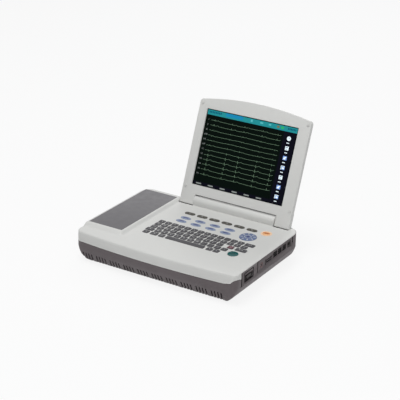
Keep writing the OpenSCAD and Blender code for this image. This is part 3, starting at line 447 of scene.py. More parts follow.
def arc(cx, cy, r, start, end, steps):
    angles = [math.radians(a) for a in evenly(start, end, steps)]
    return [(cx + r * math.cos(a), cy + r * math.sin(a)) for a in angles]


def rounded_rect(x0, y0, x1, y1, radii, steps=6):
    """Outline with corner radii in the order front left, front right, rear right, rear left."""
    corners = [(x0, y0, 1, 1, 180), (x1, y0, -1, 1, 270), (x1, y1, -1, -1, 0), (x0, y1, 1, -1, 90)]
    outline = []
    for (x, y, right, up, start), radius in zip(corners, radii):
        r = max(0.05, radius)
        outline += arc(x + right * r, y + up * r, r, start, start + 90, steps)
    return outline


def ellipse(cx, cy, rx, ry, steps=40):
    angles = [math.tau * k / steps for k in range(steps)]
    return [(cx + rx * math.cos(a), cy + ry * math.sin(a)) for a in angles]


def circle(cx, cy, r, steps=40):
    return ellipse(cx, cy, r, r, steps)


def stadium(cx, cy, length, depth, steps=10):
    r = depth / 2
    h = length / 2 - r
    return arc(cx + h, cy, r, -90, 90, steps) + arc(cx - h, cy, r, 90, 270, steps)


def join(parts):
    """One bmesh out of several, which are freed."""
    whole = bmesh.new()
    for bm in parts:
        mesh = plain_mesh("join", bm)
        whole.from_mesh(mesh)
        bpy.data.meshes.remove(mesh)
    return whole


def boolean(base, tool, operation="DIFFERENCE"):
    """base with tool cut away, joined on or kept in common; both bmeshes are freed."""
    objects = []
    for bm in (base, tool):
        mesh = plain_mesh("operand", bm)
        obj = new_object("operand", mesh)
        objects.append(obj)
    modifier = objects[0].modifiers.new("boolean", "BOOLEAN")
    modifier.operation = operation
    modifier.solver = "EXACT"
    modifier.object = objects[1]
    bpy.context.view_layer.update()
    done = objects[0].evaluated_get(bpy.context.evaluated_depsgraph_get())
    result = bmesh.new()
    result.from_mesh(done.to_mesh())
    done.to_mesh_clear()
    for obj in objects:
        mesh = obj.data
        bpy.data.objects.remove(obj)
        bpy.data.meshes.remove(mesh)
    return result


SAME_POINT = 1e-6


def tidy(bm, angle_deg=0.5):
    bmesh.ops.remove_doubles(bm, verts=bm.verts, dist=SAME_POINT)
    bmesh.ops.dissolve_limit(bm, angle_limit=math.radians(angle_deg), verts=bm.verts, edges=bm.edges)
    return bm


def bevel_edges(bm, width, picked, segments=2):
    edges = [e for e in bm.edges if len(e.link_faces) == 2 and picked(e)]
    bmesh.ops.bevel(bm, geom=edges, offset=width, offset_type="OFFSET", segments=segments, profile=0.5,
                    affect="EDGES", clamp_overlap=True)
    return bm


def is_sharp(edge, angle_deg=40):
    return edge.calc_face_angle(0) > math.radians(angle_deg)


def cad_copy(node):
    bm = bmesh.new()
    bm.from_mesh(NODES[node].data)
    bmesh.ops.remove_doubles(bm, verts=bm.verts, dist=SAME_POINT)
    return bm


def dressed(node, width_mm, segments=2, material=None, angle_deg=40):
    """A copy of a CAD node with softened edges, which stands for it."""
    bm = tidy(cad_copy(node))
    bevel_edges(bm, width_mm * MM, lambda e: is_sharp(e, angle_deg), segments)
    slot = next(p for p in frame["record"]["subparts"] if p["node"] == node)["material_slot"]
    name = node + "_finish"
    mesh = to_mesh(name, bm, Matrix.Identity(4))
    add_piece(name, mesh, material or MAT[slot], NODES[node]["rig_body"], (node,))


def islands(node):
    """Boxes (low, high), in metres, of a CAD node's separate solids, from left to right and front to rear."""
    bm = cad_copy(node)
    left = set(bm.verts)
    boxes = []
    while left:
        stack = [left.pop()]
        group = []
        while stack:
            vert = stack.pop()
            group.append(vert.co.copy())
            for edge in vert.link_edges:
                other = edge.other_vert(vert)
                if other in left:
                    left.remove(other)
                    stack.append(other)
        boxes.append((Vector(map(min, *group)), Vector(map(max, *group))))
    bm.free()
    return sorted(boxes, key=lambda b: (round(b[0].x, 6), b[0].y))


# ---- body shells
def smooth_step(value, start, end):
    t = min(1.0, max(0.0, (value - start) / (end - start)))
    return t * t * (3 - 2 * t)


DOOR_LOW, DOOR_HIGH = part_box("printer_door")
DOOR_X0, DOOR_Y0, _ = body_mm(DOOR_LOW)
DOOR_X1, DOOR_Y1, _ = body_mm(DOOR_HIGH)
DOOR_GAP, LEG_GAP, PANEL_GAP, KEY_GAP = 0.6, 0.5, 0.3, 0.4  # clearances in the shells
CORNER_RISE, RISE_FROM_Z, RISE_TO_Z = 12.0, 35.0, 68.8  # lift of the shells' joint, between heights
FLAT_DEG = 0.05  # faces flatter than this are merged
SLOPE_TOP_X, SLOPE_FOOT_X = DOOR_X1 + 1.4, DOOR_X1 + 12.5
SLOPE_FOOT_Y, SLOPE_TOP_Y = DOOR_Y0 - 16.5, DOOR_Y0 - 4.0
REAR_FALL_Y0, REAR_FALL_Y1 = BODY_D - 11, BODY_D - 2


def deck_height(x, y):
    """Height of the top surface, which rises over the printer on the left."""
    across = 1 - smooth_step(x, SLOPE_TOP_X, SLOPE_FOOT_X)
    front = 0.1 * smooth_step(y, 0, SLOPE_FOOT_Y + 2) + 0.9 * smooth_step(y, SLOPE_FOOT_Y, SLOPE_TOP_Y)
    rear = 1 - smooth_step(y, REAR_FALL_Y0, REAR_FALL_Y1)
    return DECK_Z + PLATEAU_RISE * across * front * rear


# Up the white shell: (y of the front at its middle, y at its corners, side inset, rear inset, height,
# plan radii at the front and rear)
UPPER_RINGS = [(-6.5, 3.0, 0, 0, PARTING_Z, 14, 32), (-6.4, 3.1, 0, 0, 54, 14, 32),
               (-6.1, 3.3, 0, 0.1, 60, 14, 32), (-5.7, 3.7, 0, 0.4, 65, 14, 32),
               (-5.1, 4.2, 0, 0.9, 68.8, 14, 32), (-4.6, 4.6, 0.05, 1.5, 70.6, 13.5, 31.5),
               (-3.9, 5.2, 0.2, 2.1, 71.7, 13, 31), (-2.8, 6.1, 0.6, 2.8, 72.4, 12.5, 30.5),
               (-1.2, 7.5, 1.2, 3.6, 72.9, 12, 29.5), (1.5, 9.6, 2.2, 4.6, 73.2, 11, 28.5),
               (7, 14, 3.6, 6.0, 73.6, 9.5, 27), (17, 22, 5.6, 7.6, 74.1, 8, 25),
               (30, 32, 8, 9, DECK_Z, 6, 24)]
# the same down the dark shell
LOWER_RINGS = [(-5.7, 3.8, 0.8, 0.8, PARTING_Z, 13.4, 31),
               (-5.7, 3.8, 0.8, 0.8, PARTING_Z - 0.5, 13.4, 31),
               (-6.5, 3.0, 0, 0, PARTING_Z - 0.9, 14, 32), (-6.5, 3.0, 0, 0, 42, 14, 32),
               (-6.4, 3.0, 0.3, 0, 38.5, 13, 32), (-5.9, 3.0, 1.2, 0, 35, 12, 31),
               (-4.7, 3.2, 2.9, 0, 31, 11, 30), (-2.6, 3.6, 5.0, 0.2, 26.5, 9, 28),
               (-0.2, 4.3, 7.2, 1.4, 22, 7.5, 26), (2.2, 5.3, 9.8, 2.8, 17.6, 6, 24),
               (4.8, 6.7, 14.2, 4.3, 13, 5, 22), (7.0, 8.0, 18.6, 5.9, 9, 4, 20),
               (8.7, 9.3, 21.8, 7.1, 6, 3.5, 18), (9.8, 10.2, 23.6, 8.2, 4.6, 3, 17),
               (11.2, 11.6, 25.6, 9.6, SHELL_LOW.z / MM, 3, 16)]


def parting_rise(x, y, z):
    """How far a point of the walls is lifted where the dark shell climbs to the socket panel's front end."""
    side = smooth_step(x, HALF_W - 20, HALF_W - 3)
    front = (1 - 0.35 * smooth_step(y, 16, 27)) * (1 - smooth_step(y, 32, 40))
    below = (z - RISE_FROM_Z) / (PARTING_Z - RISE_FROM_Z)
    above = 1 - (z - PARTING_Z) / (RISE_TO_Z - PARTING_Z)
    return CORNER_RISE * side * front * max(0.0, below if z < PARTING_Z else above)


def body_ring(ring, extra=0.0, drop=0.0):
    middle, corners, side, rear, z, front_r, rear_r = ring
    half = HALF_W - side - extra
    outline = rounded_rect(-half, corners + extra, half, BODY_D - rear - extra,
                           [front_r - extra * 0.5] * 2 + [rear_r - extra] * 2, 8)
    run = half - front_r
    bow = corners - middle
    front = [(run * k / 12, corners + extra - bow * (1 - (k / 12) ** 2)) for k in range(-11, 12)]
    bend = outline[17][1]
    flank = [(half, bend + (42 - bend) * k / 7) for k in range(1, 7)]
    outline = outline[:9] + front + outline[9:18] + flank + outline[18:]
    return [(x, y, z - drop + parting_rise(x, y, z)) for x, y in outline]


def raise_deck(bm, drop):
    """Cuts the solid into strips over the slopes and lifts what lies over the printer."""
    across = evenly(SLOPE_TOP_X - 0.4, SLOPE_FOOT_X + 0.4, 10)
    along = (evenly(0, SLOPE_FOOT_Y, 6)[1:-1] + evenly(SLOPE_FOOT_Y, SLOPE_TOP_Y, 10)
             + evenly(REAR_FALL_Y0, REAR_FALL_Y1, 5))
    cuts = [((x, 0, 0), (1, 0, 0)) for x in across] + [((0, y, 0), (0, 1, 0)) for y in along]
    for point, normal in cuts:
        bmesh.ops.bisect_plane(bm, geom=bm.verts[:] + bm.edges[:] + bm.faces[:], plane_co=point,
                               plane_no=normal, dist=1e-5)
    for vert in bm.verts:
        if vert.co.z > PARTING_Z:
            share = (vert.co.z + drop - PARTING_Z) / (DECK_Z - PARTING_Z)
            vert.co.z += (deck_height(vert.co.x, vert.co.y) - DECK_Z) * share
    return bm


def key_cutters():
    """Openings of the deck round the keys and buttons."""
    low, high = DECK_Z - 8, DECK_Z + 20
    tools = []
    for k in range(1, 6):
        for a, b in islands(f"key_row_{k}"):
            x0, y0, x1, y1 = key_face(a, b, KEY_TRIM - KEY_GAP)
            tools.append(prism(rounded_rect(x0, y0, x1, y1, [KEY_CORNER + KEY_GAP] * 4, 4), low, high))
    for k in range(1, 7):
        cx, cy, w, d = face_of(f"soft_key_{k}")
        tools.append(prism(stadium(cx, cy, w + 2 * KEY_GAP, d + 2 * KEY_GAP), low, high))
    for name in ["nav_pad", "power_button", "print_button"] + [f"oval_key_{k}" for k in range(1, 9)]:
        cx, cy, w, d = face_of(name)
        tools.append(prism(ellipse(cx, cy, w / 2 + KEY_GAP, d / 2 + KEY_GAP), low, high))
    return tools


KEY_CORNER, KEY_TRIM = 2.4, 0.45
FLANGE, FLANGE_H = 0.9, 1.3  # how far a key's flange, under the deck, stands out past its face; its height
PRINT_LIFT = 0.02 * MM  # metres: how far print stands off a key


def key_face(a, b, trim=0.0):
    """x0, y0, x1, y1 of a key's face, in millimetres in the body's frame, from its solid's box."""
    out = FLANGE + trim
    (x0, y0, _), (x1, y1, _) = body_mm(a), body_mm(b)
    return x0 + out, y0 + out, x1 - out, y1 - out


def face_of(node):
    x0, y0, x1, y1 = key_face(*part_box(node))
    return (x0 + x1) / 2, (y0 + y1) / 2, x1 - x0, y1 - y0


AXIS_Y = (HINGE.y - FRONT_Y) / MM
AXIS_Z = HINGE.z / MM
POCKET_R = math.hypot(HINGE_RISE, HINGE_DEPTH) + 2.6


def leg_spans(margin):
    """From and to of the display's two legs, widened by a margin."""
    return [(SCREEN_X0 - margin, SCREEN_X0 + LEG_W + margin),
            (SCREEN_X1 - LEG_W - margin, SCREEN_X1 + margin)]


def hinge_circle(r):
    """Circle round the hinge's axis, in (y, z)."""
    return circle(AXIS_Y, AXIS_Z, r, 48)


PANEL_Y0, GAP_W = body_mm(PANEL_LOW)[1], 4.6


def side_window():
    """Room for the socket panel, which reaches round the rear corner; wider at its front end."""
    x0, x1 = PANEL_LOW.x / MM - PANEL_GAP, HALF_W + 2
    near, far, gap_y = HALF_W - 4, PANEL_Y0 - PANEL_GAP, PANEL_Y0 - GAP_W
    outline = [(x0, far), (near, far), (near, gap_y), (x1, gap_y), (x1, BODY_D), (x0, BODY_D)]
    return prism(outline, PANEL_LOW.z / MM - PANEL_GAP, PANEL_HIGH.z / MM + PANEL_GAP)


def panel_slit(y, low, high, width, depth):
    """Narrow upright slot in the side wall."""
    return prism(rect(HALF_W - depth, y, HALF_W + 2, y + width), low, high)


def pocket_shade_liner(x0, x1):
    """Black liner of a leg's pocket, open at the top and to the rear: painted shade that darkens the trough
    under the leg.
    """
    shade_lining = boolean(prism(hinge_circle(POCKET_R - 0.1), x0 + 0.1, x1 - 0.1, "x"),
                   prism(hinge_circle(POCKET_R - 0.8), x0 - 1, x1 + 1, "x"))
    above = rect(AXIS_Y - 30, DECK_Z - 1.4, AXIS_Y + 30, DECK_Z + 60)
    behind = rect(BODY_D - 2, 0, BODY_D + 30, 100)
    for cut in (above, behind):
        shade_lining = boolean(shade_lining, prism(cut, x0 - 1, x1 + 1, "x"))
    return shade_lining


def make_upper_shell():
    outer = raise_deck(loft([body_ring(r) for r in UPPER_RINGS]), 0)
    inner_rings = [body_ring(r, WALL, WALL) for r in UPPER_RINGS[1:]]
    inner_rings.insert(0, [(x, y, PARTING_Z - 2) for x, y, _ in inner_rings[0]])
    inner = raise_deck(loft(inner_rings), WALL)
    liners = [prism(hinge_circle(POCKET_R + WALL), x0 - WALL, x1 + WALL, "x")
              for x0, x1 in leg_spans(LEG_GAP)]
    shell = boolean(outer, boolean(inner, join(liners)))
    tools = key_cutters()
    for x0, x1 in leg_spans(LEG_GAP):
        hook = arc(AXIS_Y, AXIS_Z, POCKET_R, 180, 270, 20)
        hook += [(BODY_D + 3, AXIS_Z - POCKET_R), (BODY_D + 3, 100), (AXIS_Y - POCKET_R, 100)]
        tools.append(prism(hook, x0, x1, "x"))
        side = "left" if x0 < 0 else "right"
        # black liner in each leg's pocket: painted shade for the trough under the leg
        body_piece(f"pocket_shade_liner_{side}", pocket_shade_liner(x0, x1), MAT["black_rubber"])
    door = rounded_rect(DOOR_X0 - DOOR_GAP, DOOR_Y0 - DOOR_GAP, DOOR_X1 + DOOR_GAP, DOOR_Y1 + DOOR_GAP,
                        [2] * 4, 4)
    tools += [prism(door, DECK_Z - 4, DECK_Z + 20), side_window()]
    body_finish("upper_shell", boolean(shell, join(tools)), "white_shell", 32)


VENT_GROUPS, VENTS_EACH, VENT_GROUP_PITCH, VENT_PITCH = 10, 4, 38.5, 8.0
VENT_W, VENT_TOP, VENT_SHIFT = 3.4, 24.0, 8.5


def vent_cutters():
    tools = []
    for g in range(VENT_GROUPS):
        for k in range(VENTS_EACH):
            x = (g - (VENT_GROUPS - 1) / 2) * VENT_GROUP_PITCH + (k - (VENTS_EACH - 1) / 2) * VENT_PITCH
            x -= VENT_SHIFT
            outline = ([(x - VENT_W / 2, 0), (x + VENT_W / 2, 0)]
                       + arc(x, VENT_TOP - VENT_W / 2, VENT_W / 2, 0, 180, 6))
            tools.append(prism(outline, -BOW_OUT - 2, 15, "y"))
    return tools


def rear_hole(node, margin):
    x0, _, z0 = body_mm(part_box(node)[0])
    x1, _, z1 = body_mm(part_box(node)[1])
    return prism(rect(x0 - margin, z0 - margin, x1 + margin, z1 + margin), BODY_D - 12, BODY_D + 4, "y")


def make_vent_shade():
    """Black sheet close behind the air slots: painted shade that makes the slots read dark."""
    band = [ring for ring in LOWER_RINGS if 7 < ring[4] < 28]
    outer = [body_ring(r, WALL + 0.15) for r in reversed(band)]
    inner = [body_ring(r, WALL + 0.65) for r in band]
    inner[-1] = [(x, y, z + 0.5) for x, y, z in inner[-1]]
    shade_sheet = loft(outer + inner)
    behind, left = rect(-300, 24, 300, 400), rect(-300, -50, 22 - HALF_W, 400)
    for cut in (behind, left, rect(HALF_W - 22, -50, 300, 400)):
        shade_sheet = boolean(shade_sheet, prism(cut, -10, 100))
    body_piece("vent_shade", shade_sheet, BLACK_AND_PAINTED_SHADE)


def make_lower_shell():
    outer = [body_ring(r) for r in reversed(LOWER_RINGS)]
    inner = [body_ring(r, WALL) for r in [LOWER_RINGS[0]] + LOWER_RINGS[3:-2]]
    shell = loft(outer + inner + [[(x, y, z + WALL) for x, y, z in body_ring(LOWER_RINGS[-1], WALL)]])
    shell = boolean(shell, join(vent_cutters() + [side_window(), rear_hole("mains_switch", 0.8)]))
    body_finish("lower_shell", shell, "dark_shell", 32)


# ---- display housing
SHOULDER_R, LEG_WALL, ROOM_R, PIN_BORE_R = 9.0, 3.4, 7.1, 3.6


def screen_outline(inset, bottom=0.0):
    """Housing outline in (x, s): straight sides, rounded shoulders and the arched top."""
    half = (SCREEN_X1 - SCREEN_X0) / 2
    radius = (half * half + ARCH_RISE * ARCH_RISE) / (2 * ARCH_RISE)
    corner = max(SHOULDER_R - inset, 0.6)
    sweep = math.degrees(math.asin((half - inset - corner) / (radius - inset)))
    top = arc((SCREEN_X0 + SCREEN_X1) / 2, SCREEN_H + ARCH_RISE - radius, radius - inset, 90 - sweep,
              90 + sweep, 40)
    right = [(SCREEN_X1 - inset, bottom + inset)]
    right += arc(SCREEN_X1 - inset - corner, top[0][1] - corner * 0.93, corner, 0, 75, 6)
    left = [(SCREEN_X0 + SCREEN_X1 - x, s) for x, s in reversed(right)]
    return right + top + left


def window_outline(grow, radius):
    """Edge of the display's window, moved outwards."""
    half = LCD_W / 2 + grow
    return rounded_rect(LCD_CX - half, LCD_S0 - grow, LCD_CX + half, LCD_S0 + LCD_H + grow, [radius] * 4, 3)


def housing_room(low, high):
    """Hollow of the housing behind the display's window."""
    outline = rounded_rect(SCREEN_X0 + WALL, NOTCH_S + WALL, SCREEN_X1 - WALL, SCREEN_H - 6, [4] * 4, 3)
    return prism(outline, low, high, "y")


def leg_rooms(low, high):
    """Hollows of the legs round the hinge knuckles."""
    return [prism(rect(x0, HINGE_RISE - ROOM_R, x1, HINGE_RISE + ROOM_R), low, high, "y")
            for x0, x1 in leg_spans(-LEG_WALL)]


def pin_bores():
    """Bores for the hinge pins, through the inner cheeks of the legs."""
    spans = [(SCREEN_X0 + LEG_W / 2, SCREEN_X0 + LEG_W + 1), (SCREEN_X1 - LEG_W - 1, SCREEN_X1 - LEG_W / 2)]
    return join([prism(circle(HINGE_DEPTH, HINGE_RISE, PIN_BORE_R, 24), x0, x1, "x") for x0, x1 in spans])


def make_bezel():
    notch = [(SCREEN_X0 + LEG_W, 0), (SCREEN_X0 + LEG_W, NOTCH_S), (SCREEN_X1 - LEG_W, NOTCH_S),
             (SCREEN_X1 - LEG_W, 0)]
    bm = prism(screen_outline(0) + notch, 0, BEZEL_T, "y")
    bevel_edges(bm, 1.6, lambda e: all(abs(v.co.y) < 1e-4 for v in e.verts), 4)
    window, wide = window_outline(0, 0.8), window_outline(1.0, 1.6)
    flared = ((-1.0, wide), (1.6, window), (6.0, window))
    bm = boolean(bm, loft([[(x, t, s) for x, s in outline] for t, outline in flared]))
    bm = boolean(bm, join([housing_room(3, BEZEL_T + 1)] + leg_rooms(HINGE_DEPTH - 4.1, BEZEL_T + 1)))
    bm = boolean(bm, pin_bores())
    screen_finish("screen_bezel", bm, 32)
    # black strip inside the slit between the notch and the hinge cover: painted shade that darkens the slit
    shade_strip = prism(rect(1.6, NOTCH_S - 1.3, BEZEL_T - 0.6, NOTCH_S + 0.3), SCREEN_X0 + LEG_W + 0.4,
                 SCREEN_X1 - LEG_W - 0.4, "x")
    screen_piece("hinge_slit_shade", bevel_edges(shade_strip, 0.4, is_sharp), MAT["black_rubber"])


def make_screen_back():
    steps = [(BEZEL_T + 0.15, 0.5), (BEZEL_T + 0.6, 0.5), (BEZEL_T + 0.9, 0), (10.0, 0), (11.0, 1.0),
             (12.0, 3.4), (13.1, 6.8), (14.8, 13), (16.6, 22), (17.9, 32), (18.7, 41), (SCREEN_T, 50)]
    crown = loft([[(x, t, s) for x, s in screen_outline(inset, NOTCH_S)] for t, inset in steps])
    legs = []
    for x0, x1 in leg_spans(0):
        leg = prism(rect(x0, 0, x1, NOTCH_S + 12), BEZEL_T + 0.15, LEG_T - 0.1, "y")
        legs.append(bevel_edges(leg, 1.5, lambda e: all(v.co.y > LEG_T - 1 for v in e.verts), 3))
    bm = boolean(crown, join(legs), "UNION")
    bm = boolean(bm, join(leg_rooms(BEZEL_T - 1, HINGE_DEPTH + 4.1) + [housing_room(BEZEL_T - 1, 10.6)]))
    bm = boolean(bm, pin_bores())
    screen_finish("screen_back", bm, 28)


# ---- the picture on the display
def flat_faces(outlines):
    """Flat faces over outlines of points."""
    bm = bmesh.new()
    for outline in outlines:
        bm.faces.new([bm.verts.new(p) for p in outline])
    return bm


def screen_quads(name, quads, material, t):
    """Flat pieces of the picture, as outlines of (u, v) millimetres from its lower left corner."""
    placed = [[(LCD_CX - LCD_W / 2 + u, t, LCD_S0 + v) for u, v in outline] for outline in quads]
    screen_piece(name, flat_faces(placed), material)


BAR_H = 13.5
EDGE = 1.8  # from the picture to the edge of the glass
TRACE_U0, TRACE_U1, TRACE_STEP, TRACE_W = 15.0, 206.0, 0.35, 0.62
ROW_STEP, ROW_TOP = 11.9, 158.5
BEATS = (25.5, 74.0, 108.0, 157.0, 197.0)  # where along the traces the heart beats
# (lead, sizes of the R, S and T waves), in millimetres
LEADS = [("I", 2.8, 0.5, 1.2), ("II", 3.4, 0.5, 1.4), ("III", 1.8, 0.8, 0.8), ("aVR", -2.0, 0, -1.0),
         ("aVL", 1.4, 0.7, 0.6), ("aVF", 2.2, 0.5, 1.0), ("V1", 1.5, 2.6, 0.8), ("V2", 2.8, 4.0, 1.8),
         ("V3", 4.2, 3.6, 2.0), ("V4", 5.0, 2.6, 2.1), ("V5", 4.8, 1.6, 1.8), ("V6", 4.4, 1.0, 1.4)]


def wave(offset, r, s, t):
    """Height of the trace at an offset from the R wave: P wave, QRS complex and T wave."""
    humps = [(-6.5, 1.4, 0.5), (-1.0, 0.4, -0.12 * abs(r)), (0, 0.45, r), (1.1, 0.4, -s), (9.5, 2.6, t)]
    return sum(height * math.exp(-((offset - at) / width) ** 2) for at, width, height in humps)


def trace_quads(row):
    """Short quads along the trace of one lead."""
    r, s, t = LEADS[row][1:]
    base = ROW_TOP - row * ROW_STEP
    line = []
    for k in range(int((TRACE_U1 - TRACE_U0) / TRACE_STEP) + 1):
        u = TRACE_U0 + k * TRACE_STEP
        drift = 0.45 * math.sin(u * 0.055 + row * 0.7)
        line.append((u, base + drift + sum(wave(u - beat, r, s, t) for beat in BEATS)))
    quads = []
    for (u0, v0), (u1, v1) in zip(line, line[1:]):
        run = math.hypot(u1 - u0, v1 - v0)
        nu, nv = -(v1 - v0) / run * TRACE_W / 2, (u1 - u0) / run * TRACE_W / 2
        quads.append([(u0 - nu, v0 - nv), (u1 - nu, v1 - nv), (u1 + nu, v1 + nv), (u0 + nu, v0 + nv)])
    return quads


def words(name, items, material, body, matrix):
    """Flat letters as one mesh; items are (text, x, y, height) in the plane of the matrix."""
    bm = bmesh.new()
    for text, x, y, height in items:
        curve = bpy.data.curves.new("glyph", "FONT")
        curve.body = text
        curve.size = height
        curve.align_x = "CENTER"
        curve.align_y = "CENTER"
        curve.resolution_u = 2
        glyph = new_object("glyph", curve)
        bpy.context.view_layer.update()
        drawn = glyph.evaluated_get(bpy.context.evaluated_depsgraph_get())
        flat = drawn.to_mesh()
        flat.transform(Matrix.Translation((x, y, 0)))
        bm.from_mesh(flat)
        drawn.to_mesh_clear()
        bpy.data.objects.remove(glyph)
        bpy.data.curves.remove(curve)
    bm.transform(matrix @ Matrix.Scale(MM, 4))
    mesh = plain_mesh(name, bm)
    add_piece(name, mesh, material, body)


def make_picture():
    glass_t = LCD_T - 0.9
    glass = prism(window_outline(-0.15, 0.8), glass_t, LCD_T - 0.05, "y")
    screen_piece("display_glass", glass, GLASS_BLACK)
    teal = glowing("title_teal", (0.014, 0.215, 0.235))
    blue = glowing("title_blue", (0.008, 0.19, 0.36))
    ink = glowing("title_ink", (0.0, 0.06, 0.12))
    cyan = glowing("title_cyan", (0.08, 0.4, 0.43))
    leaf = glowing("title_green", (0.02, 0.35, 0.1))
    rust = glowing("title_rust", (0.16, 0.13, 0.06))
    trace = glowing("trace_green", (0.12, 0.195, 0.125))
    white = glowing("screen_white", (0.72, 0.82, 0.86))
    dim = glowing("screen_grey", (0.2, 0.22, 0.21))
    ice = glowing("icon_blue", (0.17, 0.28, 0.6))
    navy = glowing("column_navy", (0.001, 0.001, 0.005))
    bar = LCD_H - BAR_H
    layer = [glass_t - 0.06 - 0.03 * k for k in range(4)]
    screen_quads("title_bar", [rect(EDGE, bar, LCD_W - EDGE, LCD_H - EDGE)], teal, layer[0])
    screen_quads("title_band", [rect(52, bar + 3.6, 99, LCD_H - 2.2)], blue, layer[1])
    letters = [rect(6 + 4.4 * k, bar + 4.6, 8.6 + 4.4 * k, bar + 9.4) for k in range(8)]
    letters += [rect(219 + 3.8 * k, bar + 4.6, 221.4 + 3.8 * k, bar + 9) for k in range(6)]
    screen_quads("title_letters", letters, ink, layer[2])
    marks = [rect(119.5, bar + 4, 124.5, bar + 9.6), rect(145, bar + 5, 153, bar + 8.6),
             rect(168, bar + 5, 174.5, bar + 8.6)]
    screen_quads("title_marks", marks, cyan, layer[2])
    screen_quads("title_heart", [rect(190, bar + 4, 196.5, bar + 9)], rust, layer[2])
    screen_quads("title_tick", [rect(201, bar + 4, 208, bar + 9)], leaf, layer[2])
    screen_quads("icon_column", [rect(211, EDGE, LCD_W - EDGE, bar)], navy, layer[0])
    screen_quads("footer", [rect(EDGE, EDGE, 210, 9)], navy, layer[0])
    screen_quads("footer_marks", [rect(10 + 33 * k, 3.4, 24 + 33 * k, 6.4) for k in range(6)], dim, layer[1])
    screen_quads("traces", [quad for row in range(len(LEADS)) for quad in trace_quads(row)], trace, layer[1])
    labels = [(lead, 8.2, ROW_TOP - k * ROW_STEP + 0.8, 5.6) for k, (lead, *_) in enumerate(LEADS)]
    corner = Matrix.Translation(((LCD_CX - LCD_W / 2) * MM, layer[1] * MM, LCD_S0 * MM))
    upright = Matrix.Rotation(math.radians(90), 4, "X")
    words("lead_names", labels, dim, "screen", SCREEN_FRAME @ corner @ upright)
    make_icons(white, ice, ink, layer)


ICON_U, ICON_TOP, ICON_STEP = 226.5, 155.6, 22.9


def icon_rect(v, left, low, right, high):
    return rect(ICON_U + left, v + low, ICON_U + right, v + high)


def make_icons(white, ice, ink, layer):
    """Command column at the right of the picture: seven pictograms with a caption under each."""
    bright, cool, dark = [], [], []
    for k in range(7):
        v = ICON_TOP - ICON_STEP * k
        bright.append(icon_rect(v, -4, -11.5, 3, -9.7))
        if k == 0:
            bright.append(circle(ICON_U, v, 5.2, 24))
            dark += [icon_rect(v, -0.5, -0.4, 0.5, 3.2), icon_rect(v, -0.5, -0.5, 2.4, 0.5)]
        elif k % 3 == 1:
            bright.append(icon_rect(v, -4.6, -4.4, 4.6, 4.6))
            dark += [icon_rect(v, -2.8, 1.2, 2.6, 2.8), icon_rect(v, -2.8, -2.4, 0.6, -1.2)]
        elif k % 3 == 2:
            cool.append(icon_rect(v, -5, -4.6, 5, 4.6))
            bright += [icon_rect(v, -3.4, -3.2, 1.8, 1), icon_rect(v, -1, 0.6, 3.4, 3.2)]
        else:
            bright += [icon_rect(v, -5, -4.6, -3.6, 4.6), icon_rect(v, -5, 3.4, 5, 4.6),
                       icon_rect(v, -2, -3, 3.6, 1.4)]
            cool.append(icon_rect(v, -3.4, -4.4, 5, 3.2))
    screen_quads("icon_fields", cool, ice, layer[1])
    screen_quads("icons", bright, white, layer[2])
    screen_quads("icon_ink", dark, ink, layer[3])


# ---- keys
LETTERS = [list("1234567890-=") + ["del", "back"], ["tab"] + list("qwertyuiop") + ["[", "]", "/"],
           ["caps"] + list("asdfghjkl;") + ["esc", "enter"], ["shift"] + list("zxcvbnm,.") + ["?", "!"],
           ["fn", "ctrl", "alt", "", "<", ">"]]


def key_cap(outline_of, z0, z1):
    """A moulded cap: straight skirt and rolled shoulder."""
    steps = [(0.0, z0), (0.0, z1 - 0.5), (0.1, z1 - 0.25), (0.3, z1 - 0.08), (0.6, z1)]
    return loft([[(x, y, z) for x, y in outline_of(inset)] for inset, z in steps])


def raised(z):
    """The body's frame lifted to a height, in metres."""
    return BODY_FRAME @ Matrix.Translation((0, 0, z))


def make_keys():
    for k, letters in enumerate(LETTERS, 1):
        node = f"key_row_{k}"
        caps, glyphs = [], []
        for i, (a, b) in enumerate(islands(node)):
            x0, y0, x1, y1 = key_face(a, b, KEY_TRIM)
            z0, z1 = a.z / MM, b.z / MM
            caps.append(key_cap(lambda d: rounded_rect(x0 + d, y0 + d, x1 - d, y1 - d,
                                                       [KEY_CORNER - d * 0.4] * 4, 4), z0, z1))
            out = FLANGE + KEY_TRIM
            skirt = rounded_rect(x0 - out, y0 - out, x1 + out, y1 + out, [1.6] * 4, 2)
            caps.append(prism(skirt, z0, z0 + FLANGE_H))
            label = letters[i].upper() if i < len(letters) else ""
            if label:
                glyphs.append((label, (x0 + x1) / 2, (y0 + y1) / 2, 6.6 if len(label) == 1 else 3.6))
        body_piece(node + "_caps", join(caps), MAT["key_grey"], node, (node,))
        words(node + "_legends", glyphs, LEGEND_WHITE, node, raised(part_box(node)[1].z + PRINT_LIFT))
    a, b = islands("key_row_3")[11]
    x0, y0, x1, y1 = key_face(a, b, 1.2)
    flat_marks("key_row_3_field", [rounded_rect(x0, y0, x1, y1, [1.2] * 4, 4)],
               moulded("legend_red", (0.12, 0.036, 0.05)), "key_row_3", b.z + PRINT_LIFT / 2)


def single_key(node, slot, outline_of, flange, material=None):
    """Cap and flange of a key that moves alone; returns the height of its print, in metres."""
    low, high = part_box(node)
    z0, z1 = low.z / MM, high.z / MM
    cap = join([key_cap(outline_of, z0, z1), prism(flange, z0, z0 + FLANGE_H)])
    body_piece(node + "_cap", cap, material or MAT[slot], node, (node,))
    return high.z + PRINT_LIFT


def oval_key(node, slot, steps):
    """A round or oval key; returns its centre, the size of its face and the height of its print."""
    cx, cy, w, d = face_of(node)
    top = single_key(node, slot, lambda i: ellipse(cx, cy, w / 2 - i, d / 2 - i, steps),
                     ellipse(cx, cy, w / 2 + FLANGE, d / 2 + FLANGE, steps))
    return cx, cy, w, d, top


def flat_marks(name, outlines, material, body, z):
    """Print on a key, from outlines of (x, y) millimetres, at a height in metres."""
    bm = flat_faces([[(x, y, 0) for x, y in outline] for outline in outlines])
    add_piece(name, to_mesh(name, bm, raised(z) @ Matrix.Scale(MM, 4)), material, body)


